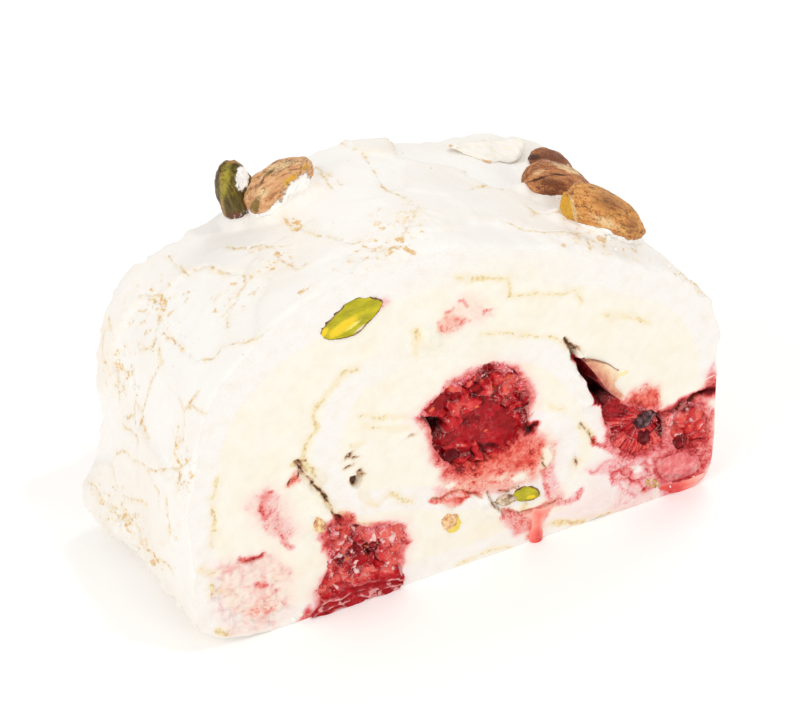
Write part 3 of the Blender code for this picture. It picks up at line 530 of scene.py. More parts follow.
NUTS_ON_TOP = {  # middle, turn in degrees, half sizes and a seed, as packed
    "pistachio_top_left_tan": ((-18.3, 11.4, 64.6), (0, -8, 0), (7, 4.1, 3.7), 4),
    "pistachio_top_left_green": ((-24.9, 15.4, 63.6), (0, 72, 10), (5.9, 3.5, 3.6), 2),
    "pistachio_top_right_front": ((30.6, -12.1, 53.7), (0, 27, -28), (7.7, 4.2, 3.7), 10),
    "pistachio_top_right_middle": ((28.3, -1.2, 53.8), (0, 25, -22), (6.5, 3.8, 3.4), 8),
    "pistachio_top_right_rear": ((32.2, 7.4, 51.4), (0, 30, -10), (4.4, 2.7, 2.3), 6)}
FLAKE = (  # a plate of crust that lifted off
    (191.1, 15.4), (194.4, 16.6), (197.4, 16.2), (202.2, 15.8), (206.4, 14.8), (204.6, 12.2), (202.3, 10.3),
    (199.4, 10.9), (196.8, 10.5), (194, 13))


def turned(degrees):
    """The matrix of a turn about X, Y and Z in degrees."""
    return np.array(Euler([math.radians(angle) for angle in degrees]).to_matrix())


def plate_centres(length):
    """Middles of the crust's plates over its unrolled length and depth, with their levels."""
    draw = np.random.default_rng(41)
    centres = []
    for row in range(-1, int(SLICE_DEPTH / PLATE_SIZE) + 2):
        for column in range(-1, int(length / PLATE_SIZE) + 2):
            shift = 0.5 * PLATE_SIZE * (row % 2)
            centres.append((column * PLATE_SIZE + shift + draw.uniform(-PLATE_JITTER, PLATE_JITTER),
                            FRONT + row * PLATE_SIZE + draw.uniform(-PLATE_JITTER, PLATE_JITTER),
                            draw.uniform(-1, 1)))
    return np.array(centres)


def crust_relief(ground, x, z):
    """Height of the crust over the plain roll at each (along, front to back), with the
    distance to the nearest crack, each place's own shade, and its toasting, which also
    paints shade along the foot of the wall."""
    y = ground[:, 1]
    wavy = ground + 0.7 * jitter(ground, 4.0, 61, 67)
    centres = plate_centres(run[-1])
    away = np.hypot(wavy[:, :1] - centres[:, 0], (wavy[:, 1:] - centres[:, 1]) * 1.1)
    order = np.argpartition(away, 1, axis=1)[:, :2]
    two = np.take_along_axis(away, order, 1)
    swap = two[:, 0] > two[:, 1]
    order[swap], two[swap] = order[swap, ::-1], two[swap, ::-1]
    joint = (two[:, 1] - two[:, 0]) / 2
    here, beside = centres[order[:, 0], 2], centres[order[:, 1], 2]
    settled = smooth(0, 0.8, joint)
    height = PLATE_STEP * (here * (0.5 + 0.5 * settled) + beside * (0.5 - 0.5 * settled))
    unseen = np.maximum(smooth(203, 215, ground[:, 0]),
                        0.6 * smooth(10, 17, y) * smooth(150, 170, ground[:, 0]))
    opened = smooth(0.25, 0.6, lumps(ground, 9.0, 71) + 0.65 * unseen)
    crack = joint + 3 * (1 - opened)

    crumbled = sum(blob(ground, *place) for place in CRUMBLED) + smooth(0.5, 0.9, lumps(ground, 16, 73))
    crumbled = np.minimum(crumbled, 1)
    first, second, level, _ = cells(wavy, 4.2, 77)
    flake_edge = (second - first) / 2
    height += crumbled * (0.55 * (level - 0.5) * smooth(0, 0.5, flake_edge))
    crack = np.minimum(crack, flake_edge + 2 * (1 - crumbled) + 1.2 * smooth(-0.2, 0.5, lumps(ground, 3, 79)))

    ragged = ground + 0.3 * jitter(ground, 1.6, 81, 83)
    for line in CRUST_CRACKS:
        crack = np.minimum(crack, from_line(ragged, line))
    height += 0.08 * smooth(1.8, 0.5, crack) - 0.14 * smooth(0.5, 0.1, crack)
    height += 0.045 * lumps(ground, 2.2, 85, 3)
    height += 0.55 * np.array([noise.noise(Vector(point) / 11.0) for point in zip(x, y, z)])
    foot = np.exp(-((z - 5.5) / 4.5) ** 2) * (0.25 + 0.75 * smooth(0, 14, y)) * smooth(0, -30, x)
    height += 2.6 * foot + 0.9 * smooth(13, 3, z) * smooth(0, -30, x) * np.abs(lumps(ground, 2.6, 95, 3))
    flake = np.exp(-((x - 25.5) / 7.5) ** 2 - ((y - 15.6) / 3.0) ** 2) * smooth(30, 50, z)
    height += 0.7 * flake
    collar = np.zeros(len(ground))
    place = np.stack([x, y, z], 1)
    for middle, turn, half, seed in NUTS_ON_TOP.values():
        own = (place - np.array(middle)) @ turned(turn)
        near = np.linalg.norm(own / np.array(half), axis=1) + 0.12 * lumps(ground, 2.0, 87 + seed, 2)
        collar = np.maximum(collar, smooth(1.55, 1.0, near))
    height += 1.3 * collar
    # Toasting along the foot of the wall is partly browning and partly painted shade.
    toasted_and_foot_shade = np.clip(crumbled * 0.7 + smooth(1.5, 0.2, np.abs(z - 2.0) / 2) * 0.5 + 0.5 * flake
                      + 0.6 * collar * (1 - collar) * 4 * smooth(0.0, 0.6, lumps(ground, 3.0, 89)), 0, 1)
    toasted_and_foot_shade = np.minimum(toasted_and_foot_shade, 0.7)
    for along, deep, wide, long, strength in BROWNED:
        toasted_and_foot_shade = np.maximum(toasted_and_foot_shade, strength * blob(wavy, along, deep, wide, long))
    return height * smooth(0.3, 6.0, z), crack, here * 0.5 + 0.5, toasted_and_foot_shade


def quads(grid, turned_over=False):
    """Faces between the rows and columns of a grid of vertex numbers."""
    corners = np.stack([grid[:-1, :-1], grid[1:, :-1], grid[1:, 1:], grid[:-1, 1:]], -1).reshape(-1, 4)
    return corners[:, ::-1] if turned_over else corners


class Value:
    """A shader socket in an expression: each operator adds its Math node."""

    def __init__(self, socket):
        self.socket = socket

    def maths(self, operation, *terms, clamp=False):
        """The value of a new Math node with these terms, each a Value or a number."""
        tree = self.socket.id_data
        node = tree.nodes.new("ShaderNodeMath")
        node.operation = operation
        node.use_clamp = clamp
        for place, term in zip(node.inputs, terms):
            if isinstance(term, Value):
                tree.links.new(term.socket, place)
            else:
                place.default_value = term
        return Value(node.outputs[0])

    def __add__(self, other):
        return self.maths("ADD", self, other)

    def __sub__(self, other):
        return self.maths("SUBTRACT", self, other)

    def __rsub__(self, other):
        return self.maths("SUBTRACT", other, self)

    def __mul__(self, other):
        return self.maths("MULTIPLY", self, other)

    __radd__ = __add__
    __rmul__ = __mul__

    def above(self, low, high):
        """0 below low, 1 above high, and a soft ramp between."""
        t = self.maths("MULTIPLY_ADD", self, 1 / (high - low), -low / (high - low), clamp=True)
        return self.maths("MULTIPLY", t.maths("MULTIPLY", t, t), 3 - 2 * t)

    def below(self, low, high):
        """1 below low, 0 above high, and a soft ramp between."""
        return 1 - self.above(low, high)

    def most(self, other):
        """The larger of the two."""
        return self.maths("MAXIMUM", self, other)

    def least(self, other):
        """The smaller of the two."""
        return self.maths("MINIMUM", self, other)

    def __abs__(self):
        return self.maths("ABSOLUTE", self)


class Finish:
    """One material: a shader, with the nodes that drive it in millimetres of the real thing."""

    def __init__(self, name, **constants):
        self.material = bpy.data.materials.new(name)
        self.material.use_nodes = True
        self.tree = self.material.node_tree
        self.tree.nodes.clear()
        self.shader = self.tree.nodes.new("ShaderNodeBsdfPrincipled")
        output = self.tree.nodes.new("ShaderNodeOutputMaterial")
        self.tree.links.new(self.shader.outputs[0], output.inputs["Surface"])
        for socket, value in constants.items():
            self.shader.inputs[socket.replace("_", " ")].default_value = value
        place = self.node("ShaderNodeTexCoord", output="Object")
        self.place = self.node("ShaderNodeVectorMath", {"operation": "SCALE"}, {0: place, 3: 1000.0})

    def node(self, kind, settings=None, sockets=None, output=0):
        """The output of a new node; each socket takes a Value or a constant."""
        node = self.tree.nodes.new(kind)
        for setting, value in (settings or {}).items():
            if setting == "stops":
                while len(node.color_ramp.elements) < len(value):
                    node.color_ramp.elements.new(0.5)
                for stop, (position, shade) in zip(node.color_ramp.elements, value):
                    stop.position = position
                    stop.color = shade
            else:
                setattr(node, setting, value)
        for socket, value in (sockets or {}).items():
            if isinstance(value, Value):
                self.tree.links.new(value.socket, node.inputs[socket])
            else:
                node.inputs[socket].default_value = value
        return Value(node.outputs[output])

    def mask(self, name):
        """The number that each vertex of the piece carries under this name."""
        return self.node("ShaderNodeAttribute", {"attribute_name": name}, output="Fac")

    def grain(self, size, detail=2.0, roughness=0.5, place=None):
        """Noise from 0 to 1 with lumps of the given size in millimetres."""
        return self.node("ShaderNodeTexNoise", None, {
            "Vector": place or self.place, "Scale": 1 / size, "Detail": detail, "Roughness": roughness})

    def blend(self, share, first, second, how="MIX"):
        """The first colour, with a share of the second over it."""
        return self.node("ShaderNodeMix", {"data_type": "RGBA", "blend_type": how},
                         {0: share, 6: first, 7: second}, output=2)

    def ramp(self, value, *stops):
        """A colour for the value, between stops of (place, colour)."""
        return self.node("ShaderNodeValToRGB", {"stops": stops}, {"Fac": value})

    def drive(self, **sockets):
        """Links these values to the shader."""
        for socket, value in sockets.items():
            self.tree.links.new(value.socket, self.shader.inputs[socket.replace("_", " ")])

    def stretched(self, *scale):
        """A kernel's own coordinates, scaled each way, for patterns drawn out along it."""
        kernel = self.node("ShaderNodeAttribute", {"attribute_name": "kernel"}, output="Vector")
        return self.node("ShaderNodeVectorMath", {"operation": "MULTIPLY"}, {0: kernel, 1: scale})

    def bump(self, height):
        """Relief of the given height in millimetres."""
        normal = self.node("ShaderNodeBump", None, {"Height": height, "Distance": MM, "Strength": 1.0})
        self.tree.links.new(normal.socket, self.shader.inputs["Normal"])


def colour(red, green, blue, exposure=1.0):
    """A colour seen in the photograph, as a surface colour."""
    parts = [((part / 255 + 0.055) / 1.055) ** 2.4 if part > 10 else part / 3294
             for part in (red, green, blue)]
    return tuple(min(part * exposure, 0.98) for part in parts) + (1.0,)


LIT = 0.93  # how much brighter the studio light shows a white thing than it is


def cut_finish(finish, white, cream):
    """Colour of cut meringue or cream: white or rich, soaked with juice, browned along the skin,
    with painted shade in its holes and cracks; with how soaked it is, and the noise of its crumb."""
    wander = finish.grain(2.2, 3.0)
    soft = finish.grain(7.0, 2.0)
    crumb = finish.grain(0.55, 3.0, 0.6)
    rich = (finish.mask("rich") + (wander - 0.5) * 0.9).above(0.15, 0.85)
    shade = finish.blend(rich, white, cream)
    shade = finish.blend(soft.above(0.45, 0.75) * rich * 0.55, shade, colour(255, 247, 222, LIT))
    tan = finish.mask("tan")
    broken = finish.grain(1.1, 3.0, 0.65)
    skin = (tan + (broken - 0.5) * 1.3).below(-0.15, 0.12) * finish.grain(3.1, 1.0).above(0.40, 0.50)
    halo = (tan + (wander - 0.5) * 1.5).below(-0.2, 1.2)
    shade = finish.blend(halo * 0.35, shade, colour(252, 236, 196, LIT))
    shade = finish.blend(skin * 0.9, shade, finish.ramp(
        finish.grain(0.7, 2.0), (0.34, colour(206, 166, 112, LIT)), (0.46, colour(238, 214, 156, LIT)),
        (0.62, colour(250, 240, 190, LIT))))
    crumbled = (tan + (broken - 0.5) * 1.2 + (wander - 0.5) * 1.6).below(0.0, 0.6) * wander.above(0.40, 0.56)
    shade = finish.blend(crumbled * 0.42, shade, colour(250, 230, 184, LIT))
    # Painted shade in the holes and cracks of the cut: a pale tan halo round them, tan-brown at their rims,
    # and brown to near black inside.
    pit = finish.mask("pit")
    ragged_pit_shade = pit + (broken - 0.5) * 0.35
    round_pit_shade = (pit + (wander - 0.5) * 0.9).below(0.0, 0.8)
    shade = finish.blend(round_pit_shade * 0.4, shade, colour(242, 220, 188, LIT))
    shade = finish.blend(ragged_pit_shade.below(0.02, 0.25) * 0.75, shade, colour(206, 160, 118, LIT))
    shade = finish.blend(ragged_pit_shade.below(-0.10, 0.06) * 0.95, shade, finish.ramp(
        broken, (0.38, colour(52, 32, 26)), (0.56, colour(104, 66, 48)), (0.72, colour(176, 134, 102))))
    juice = finish.mask("juice")
    ridge = abs(finish.grain(1.7, 3.0, 0.6) - 0.5).below(0.008, 0.03)
    ridge = ridge * finish.grain(4.0, 1.0).above(0.42, 0.54)
    soaked = juice * (crumb * 0.7 + wander * 0.8 + 0.25) + ridge * 0.22 * juice.above(0.10, 0.30)
    pink = finish.ramp(
        soaked, (0.0, (1, 1, 1, 1)), (0.14, (1.0, 0.90, 0.91, 1)), (0.30, (0.96, 0.63, 0.66, 1)),
        (0.50, (0.92, 0.31, 0.33, 1)), (0.72, (0.70, 0.06, 0.07, 1)), (1.0, (0.17, 0.004, 0.007, 1)))
    orange = finish.ramp(
        soaked, (0.0, (1, 1, 1, 1)), (0.14, (1.0, 0.90, 0.87, 1)), (0.30, (0.98, 0.63, 0.58, 1)),
        (0.50, (0.95, 0.31, 0.27, 1)), (0.72, (0.82, 0.08, 0.06, 1)), (1.0, (0.17, 0.004, 0.006, 1)))
    shade = finish.blend(1.0, shade, finish.blend(finish.mask("coral"), pink, orange), "MULTIPLY")
    return shade, soaked, crumb


meringue_finish = Finish("meringue", Roughness=0.75, IOR=1.4, Specular_IOR_Level=0.25)
white_crust, warm_crust = colour(254, 251, 246, LIT), colour(250, 243, 233, LIT)
inside_shade, _, crumb = cut_finish(meringue_finish, colour(255, 252, 247, LIT), colour(255, 251, 238, LIT))
on_cut = meringue_finish.mask("cut").above(0.3, 0.7)
tone = meringue_finish.mask("shade") * 0.5 + (meringue_finish.grain(9.0, 2.0) - 0.35) * 1.2
crust_shade = meringue_finish.blend(tone.above(0.0, 1.0), white_crust, warm_crust)
ragged = meringue_finish.grain(0.9, 3.0, 0.6)
dotted = meringue_finish.grain(2.6, 2.0, 0.6)
gap = meringue_finish.mask("crack") + (ragged - 0.5) * 0.6
# The toast mask also carries painted shade along the foot of the wall.
toast = meringue_finish.mask("toast")
patchy = meringue_finish.grain(1.6, 3.0, 0.65)
glow = gap.below(0.1, 1.4) * dotted.above(0.40, 0.62) * 0.6 + toast.least(0.7) * patchy.above(0.46, 0.64)
crust_shade = meringue_finish.blend(glow.least(1.0) * 0.75, crust_shade, colour(251, 234, 206, LIT))
line = gap.below(0.04, 0.36) * dotted.above(0.38, 0.5)
crust_shade = meringue_finish.blend(line * 0.85, crust_shade, meringue_finish.ramp(
    meringue_finish.grain(1.0, 2.0), (0.32, colour(216, 168, 100, LIT)), (0.44, colour(242, 210, 150, LIT)),
    (0.60, colour(252, 238, 206, LIT))))
browned = (toast.above(0.55, 0.95) * 0.20 + patchy).above(0.60, 0.68)
browned = browned * ragged.above(0.38, 0.48) * toast.above(0.1, 0.5)
crust_shade = meringue_finish.blend(browned * 0.85, crust_shade, meringue_finish.ramp(
    ragged, (0.42, colour(246, 214, 156, LIT)), (0.60, colour(226, 174, 104, LIT))))
speck = meringue_finish.grain(0.42, 1.0).above(0.75, 0.78) * meringue_finish.grain(5.0, 1.0).above(0.5, 0.62)
crust_shade = meringue_finish.blend(speck * 0.8, crust_shade, colour(214, 176, 112, LIT))
meringue_finish.drive(Base_Color=meringue_finish.blend(on_cut, crust_shade, inside_shade))
relief = meringue_finish.grain(0.5, 3.0, 0.6) * 0.10 + meringue_finish.grain(0.16, 2.0) * 0.03
relief = relief * (0.4 + 0.6 * dotted) - gap.below(0.0, 0.30) * 0.07 * (1 - on_cut)
meringue_finish.bump(relief + on_cut * (crumb - 0.5) * 0.12)


def make_piece(name, points, faces, masks, finish, node_names, crease=40, own=None):
    """A named mesh in the frame, with a number per vertex for each mask, that stands for its nodes."""
    mesh = bpy.data.meshes.new(name)
    mesh.from_pydata(set_down(points), [], faces)
    for mask, values in masks.items():
        attribute = mesh.attributes.new(mask, "FLOAT", "POINT")
        attribute.data.foreach_set("value", np.asarray(values, np.float32))
    if own is not None:
        mesh.attributes.new("kernel", "FLOAT_VECTOR", "POINT").data.foreach_set("vector", own.ravel())
    mesh.update()
    mesh.validate()
    mesh.shade_smooth()
    mesh.set_sharp_from_angle(angle=math.radians(crease))
    mesh.materials.append(finish.material)
    piece = bpy.data.objects.new(name, mesh)
    bpy.context.scene.collection.objects.link(piece)
    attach(piece, "root")
    if node_names:
        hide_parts(*node_names)
    return piece


crust_columns = len(places) - crust_start
crust_y = np.linspace(FRONT, BACK, CRUST_ROWS + 1)
ground = np.stack(np.meshgrid(run[crust_start:], crust_y, indexing="ij"), -1).reshape(-1, 2)
plain = np.repeat(outer[crust_start:], CRUST_ROWS + 1, axis=0)
height, crack, shade, toasted_and_foot_shade = crust_relief(ground, plain[:, 0], plain[:, 1])
off_ends = smooth(0, 5, ground[:, 0]) * smooth(0, 5, run[-1] - ground[:, 0])
edge = np.minimum(ground[:, 1] - FRONT, BACK - ground[:, 1])
height *= off_ends
height -= (0.5 * smooth(0.9, 0.0, edge) * (0.6 + 0.8 * lumps(ground, 2.5, 91, 2))
           * smooth(0.3, 6.0, plain[:, 1]) * off_ends)
plain -= np.repeat(inward[crust_start:], CRUST_ROWS + 1, axis=0) * height[:, None]
plain[:, 1] = np.maximum(plain[:, 1], 0.0)
crust_at = plain.reshape(crust_columns, CRUST_ROWS + 1, 2)
tear = 0.7 + 0.8 * lumps(np.stack([crust_y, crust_y * 0], 1), 5.0, 93, 3)
tear = np.clip(tear, 0, 1.6) * smooth(0, 3, crust_y - FRONT) * smooth(0, 3, BACK - crust_y)
last = smooth(run[-1] - 5, run[-1], run[crust_start:])
crust_at[:, :, 1] -= last[:, None] * tear
crust_at[:, :, 0] += last[:, None] * 0.15 * tear


def at_depth(section, y):
    """Points of a section (across, up) at places y from front to back."""
    return np.stack([section[:, 0], np.broadcast_to(y, len(section)), section[:, 1]], 1)


def extra(new_points):
    """Numbers of new vertices, which are added to the piece being built."""
    first = sum(len(group) for group in points)
    points.append(new_points)
    return np.arange(first, first + len(new_points))


points, caps = [], []
share = np.linspace(0, 1, ACROSS + 1)[None, :, None]
for side, relief in ((0, front_relief), (-1, back_relief)):
    rim = outer.copy()
    rim[crust_start:] = crust_at[:, side]
    flat_cut = (rim[:, None] * (1 - share) + inner[:, None] * share).reshape(-1, 2)
    behind = relief(flat_cut)
    cap = extra(at_depth(flat_cut, FRONT + behind if side == 0 else BACK - behind))
    caps.append(cap.reshape(-1, ACROSS + 1))
front_cap, back_cap = caps


def bridge(first, last, rows, section_at):
    """A grid of vertices from the front border to the back border, straight from front to back,
    with its section given for each row."""
    so_far = np.concatenate(points)
    grid = np.zeros((len(first), len(rows)), int)
    grid[:, 0], grid[:, -1] = first, last
    for row, way in enumerate(rows[1:-1], 1):
        depth = so_far[first, 1] * (1 - way) + so_far[last, 1] * way
        grid[:, row] = extra(at_depth(section_at(row), depth))
    return grid


def soak_in(grid):
    """The juice and the richness of each cut, carried a little way in along a lining."""
    for mask in ("juice", "rich"):
        masks[mask][grid[:, 1:5]] = masks[mask][grid[:, :1]]
        masks[mask][grid[:, 5:-1]] = masks[mask][grid[:, -1:]]


crust_rows = np.linspace(0, 1, CRUST_ROWS + 1)
crust = bridge(front_cap[crust_start:, 0], back_cap[crust_start:, 0], crust_rows,
               lambda row: crust_at[:, row])
lining = bridge(front_cap[:, -1], back_cap[:, -1], LINING_ROWS, lambda row: inner)
turned_in = bridge(front_cap[:crust_start + 1, 0], back_cap[:crust_start + 1, 0], LINING_ROWS,
                   lambda row: outer[:crust_start + 1])
start_end = bridge(front_cap[0], back_cap[0], LINING_ROWS,
                   lambda row: outer[0] * (1 - share[0]) + inner[0] * share[0])
start_end[0], start_end[-1] = turned_in[0], lining[0]
last_end = bridge(front_cap[-1], back_cap[-1], crust_rows,
                  lambda row: crust_at[-1, row] * (1 - share[0]) + inner[-1] * share[0])
last_end[0] = crust[-1]
faces = np.concatenate([quads(front_cap), quads(back_cap, True), quads(crust, True), quads(lining),
                        quads(turned_in, True), quads(start_end), quads(last_end, True)])
points = np.concatenate(points)

masks = {mask: np.full(len(points), start) for mask, start in (
    ("crack", FAR), ("shade", 0.5), ("toast", 0.0), ("cut", 1.0), ("juice", 0.0), ("rich", 0.0),
    ("tan", FAR), ("pit", FAR), ("coral", 0.0))}
for mask, values in (("crack", crack), ("shade", shade), ("toast", toasted_and_foot_shade)):
    masks[mask][crust] = values.reshape(crust_columns, -1)
for back, cap in enumerate(caps):
    for mask, values in cut_marks(points[cap.ravel()][:, ::2], back, True).items():
        masks[mask][cap.ravel()] = values
masks["cut"][crust] = 0.0
soak_in(lining)
soak_in(turned_in)
make_piece("meringue", points, faces, masks, meringue_finish, ("meringue_sheet",))

# ---- cream filling ---------------------------------------------------------------------------
# Whipped cream with crushed raspberries, spread on the sheet before it was rolled. The knife
# dragged it a little, and it lies bare on the right, where the sheet ends.
BARE_SIDE = np.array((
    (30.5, 0.06), (34.5, 0.06), (44.5, 0.2), (48.8, 1.8), (49.8, 8.0), (49.6, 15.0), (49.5, 21.5)))
BARE_LIMIT = 49.95                 # how far to the right it may swell
BARE_ROWS = np.linspace(0, 1, 76)  # its rows, from the front cut to the back cut
CREAM_STEP = 0.55                  # spacing of the mesh on the cuts

bare = curve(BARE_SIDE, evenly(BARE_SIDE, 0, len(BARE_SIDE) - 1, 0.5))
heel = crust_at[1:, 0][crust_at[1:, 0, 1] > 0.12]
heel = heel[:np.argmax(np.hypot(*np.diff(heel, axis=0).T) > 2.0) or len(heel)]
outline = np.concatenate([inner[::-1], outer[:crust_start + 1], heel, bare, outer[-1:]])
bare_start = len(inner) + crust_start + 1 + len(heel)
bare_end = bare_start + len(bare)


def fill(outline, step, margin=0.4):
    """Triangles over an outline, with points a step apart: points, triangles, the border's numbers."""
    low, high = outline.min(0), outline.max(0)
    across = np.arange(low[0], high[0], step)
    loose = np.concatenate([np.stack([across + step * 0.5 * (i % 2), np.full(len(across), z)], 1)
                            for i, z in enumerate(np.arange(low[1], high[1], step * 0.866))])
    loose = loose[inside(loose, outline) > margin * step]
    border = [(i, (i + 1) % len(outline)) for i in range(len(outline))]
    every = [Vector(point) for point in np.concatenate([outline, loose])]
    found, _, triangles, origin, _, _ = geometry.delaunay_2d_cdt(every, border, [], 1, 1e-7)
    name_of = {old: new for new, olds in enumerate(origin) for old in olds}
    return (np.array([tuple(p) for p in found]), np.array([t for t in triangles if len(t) == 3]),
            np.array([name_of[i] for i in range(len(outline))]))


def face_list(*groups):
    """Faces of all the groups, as Blender takes them."""
    return [tuple(face) for group in groups for face in group]


points = []
flat_cut, triangles, around = fill(outline, CREAM_STEP, 0.35)
front_side = extra(at_depth(flat_cut, FRONT + front_relief(flat_cut)))
back_side = extra(at_depth(flat_cut, BACK - back_relief(flat_cut)))
closed = np.append(around, around[0])
ring_rows = bridge(front_side[closed], back_side[closed], LINING_ROWS, lambda row: flat_cut[closed])
bare_line = around[bare_start:bare_end]


def bare_section(row):
    """The bare side at one row: dragged and hollowed, and plain at its ends."""
    here = flat_cut[bare_line]
    ground = at_depth(here, FRONT + SLICE_DEPTH * BARE_ROWS[row])
    push = 0.9 * lumps(ground, 7.0, 101, 2) + 0.35 * lumps(ground, 1.9, 103, 3) - 0.7
    push -= 0.5 * smooth(0.1, 0.5, np.abs(lumps(ground * np.array((1, 1, 2.2)), 5.0, 105, 2)))
    push *= smooth(0, 3, np.arange(len(here)) * 0.5) * smooth(0, 1.5, np.arange(len(here))[::-1] * 0.5)
    push *= smooth(0.02, 0.2, BARE_ROWS[row]) * smooth(1, 0.92, BARE_ROWS[row])
    moved = here + np.stack([push, np.zeros(len(here))], 1)
    moved[:, 0] = np.minimum(moved[:, 0], BARE_LIMIT)
    return moved


bare_grid = bridge(front_side[bare_line], back_side[bare_line], BARE_ROWS, bare_section)
hidden, later = np.arange(bare_start + 1), np.arange(bare_end - 1, len(closed))
faces = face_list(front_side[triangles], back_side[triangles][:, ::-1], quads(ring_rows[hidden]),
                  quads(ring_rows[later]), quads(bare_grid))
points = np.concatenate(points)
cream_finish = Finish("cream", Roughness=0.6, IOR=1.45, Specular_IOR_Level=0.3)
shade, soaked, crumb = cut_finish(cream_finish, colour(255, 252, 246, LIT), colour(255, 251, 238, LIT))
cream_finish.drive(Base_Color=shade)
crumble = (crumb - 0.5) * (0.04 + 0.16 * soaked.above(0.1, 0.5))
cream_finish.bump(cream_finish.grain(1.6, 3.0) * 0.12 + crumble)
masks = {mask: np.full(len(points), start) for mask, start in (
    ("juice", 0.0), ("rich", 1.0), ("tan", FAR), ("pit", FAR), ("coral", 0.0))}
for back, cap in enumerate((front_side, back_side)):
    for mask, values in cut_marks(flat_cut, back, False).items():
        masks[mask][cap] = values
soak_in(ring_rows)
inner_bare = bare_grid[:, 1:-1].ravel()
bare_at = points[inner_bare]
wet = smooth(-0.2, 1.0, lumps(bare_at, 9.0, 111, 3) + 0.1)
wet *= smooth(19.0, 11.0, bare_at[:, 2] + 2 * lumps(bare_at, 5.0, 113))
masks["juice"][inner_bare] = (0.55 * wet + 0.10 * smooth(22, 8, bare_at[:, 2])
                              + 0.3 * wet * smooth(0.3, 0.9, lumps(bare_at, 3.0, 115, 2)))
masks["coral"][inner_bare] = 0.4
make_piece("cream", points, faces, masks, cream_finish, ("cream_filling",))

# ---- raspberries -----------------------------------------------------------------------------
# Ripe raspberries rolled up in the cream: some halved by the knife, some crushed, wet with their
# own juice. Each shows its beads, the hollow or core in its middle, seeds, and torn skin.
BERRY_STEP = 0.2    # spacing of the mesh on the cut
BERRY_BACK = 4.2    # how far a berry reaches into the cream behind its bed
BERRY_LIMIT = 47.8  # and to the right, so that it stays inside the bare side
BRIGHT_PATCH = ((0.1, 31.8), (2.4, 32.6), (4.6, 30.9), (2, 29.9))
SOFT_TIP = (
    (26.8, 22.4), (28.7, 23.2), (31.3, 21.9), (32.3, 20.4), (30.8, 19.7), (29.3, 18.4), (27.9, 19.2))
SOFT_PLACES = {  # where the flesh lies open and smooth: depth, outline
    "raspberry_centre": (
        (1.1, ((-3.6, 26.2), (-0.3, 27.2), (0.4, 29.4), (2.6, 30.2), (6, 30), (8.4, 27.6), (10.6, 25.6),
            (11.9, 23), (9.5, 20.9), (6.1, 20.9), (3.4, 23), (-0.3, 23.9), (-3.1, 24.4))),
        (0.5, BRIGHT_PATCH), (0.6, ((-7, 33.2), (-4, 35), (-1.8, 33.8), (-3, 31.6), (-5.2, 31.6)))),
    "raspberry_right_inner": ((0.8, SOFT_TIP),),
    "raspberry_right_lower": ((0.35, ((38, 9), (44, 9.4), (49, 6), (48.4, 0), (38, 0))),)}
DOMES = {  # rounded bodies: level, height, tone, outline
    "raspberry_centre": (
        (0.9, 0.9, 0.15, ((-4, 22.8), (-2.4, 23.8), (-0.6, 23.2), (0.2, 21.9), (-0.8, 20.9), (-2.4, 20.8),
            (-3.8, 21.6))),
        (1, 0.8, 0.95, ((2, 23.4), (3.3, 23.5), (3.9, 21.6), (4.6, 19.9), (3.8, 19.2), (2.9, 19.7),
            (2.4, 21.6)))),
    "raspberry_right_inner": (
        (0.9, 1, 0.3, ((33.5, 16.9), (34.4, 18.3), (36.8, 18.7), (38.2, 17.8), (37.6, 16.4), (36.6, 15.1),
            (34.6, 15.2))),
        (1.1, 0.7, 0.2, ((34.6, 14.7), (36.9, 14.3), (37.5, 11.9), (36, 11.4), (34.7, 12.7)))),
    "raspberry_right_outer": (
        (0.9, 0.9, 0.32, ((41.1, 10.7), (42.8, 11.4), (44.8, 10.2), (44.9, 8.7), (42.8, 8.2), (41.1, 9.5))),)}
GREY = {  # greyed places: strength, outline
    "raspberry_right_inner": ((1, DOMES["raspberry_right_inner"][0][3]),
        (0.3, DOMES["raspberry_right_inner"][1][3])),
    "raspberry_right_lower": (
        (0.42, ((38.8, 6.1), (40.3, 4.1), (43.3, 3.2), (45.7, 3.5), (47.9, 4.1), (47.5, 3.1), (44.9, 2.4),
            (40.6, 2.6), (39, 4.6))),),
    "raspberry_right_outer": ((0.2, DOMES["raspberry_right_outer"][0][3]),)}
TONES = {  # deeper or brighter patches: how much, outline
    "raspberry_centre": (
        (-0.22, ((-0.4, 28), (1.9, 28.7), (4.1, 27.9), (3.4, 26.7), (0.8, 27))),
        (-0.35, ((-0.6, 22.6), (2.4, 23.2), (4.9, 22.6), (8.4, 20.3), (5.7, 19.9), (1, 20.6))),
        (-0.4, ((10.4, 27.4), (12.9, 28.4), (13, 24), (11.2, 24.2))),
        (-0.4, ((1.5, 35), (3, 36), (4.4, 33.6), (3, 33))), (0.25, BRIGHT_PATCH),
        (0.2, ((5.8, 35.6), (9, 35), (10.8, 31.6), (8, 31.4)))),
    "raspberry_right_inner": (
        (-0.5, ((38.4, 17.8), (40.3, 16.8), (41, 13.4), (40.4, 11.2), (38.5, 12.6))),
        (-0.3, ((26.6, 22.6), (28.6, 23.2), (31.2, 21.6), (33.6, 18.4), (30.4, 18.9), (28.1, 18.6))),
        (0.1, SOFT_TIP)),
    "raspberry_right_outer": ((-0.4, ((42, 17.4), (46.5, 18.4), (48, 16.4), (44, 15.2))),),
    "raspberry_lower_left": (
        (-0.3, ((-23.4, 10.7), (-19.4, 13.6), (-13.9, 10.6), (-13.1, 6.2), (-20.7, 4.9))),
        (0.2, ((-24.2, 17.6), (-22.4, 17.2), (-20, 15), (-20.6, 13.4), (-23.8, 14.4))),
        (0.14, ((-14.2, 13.8), (-10.4, 12.6), (-9.8, 7.2), (-11.6, 6.4), (-12.6, 10.6))))}
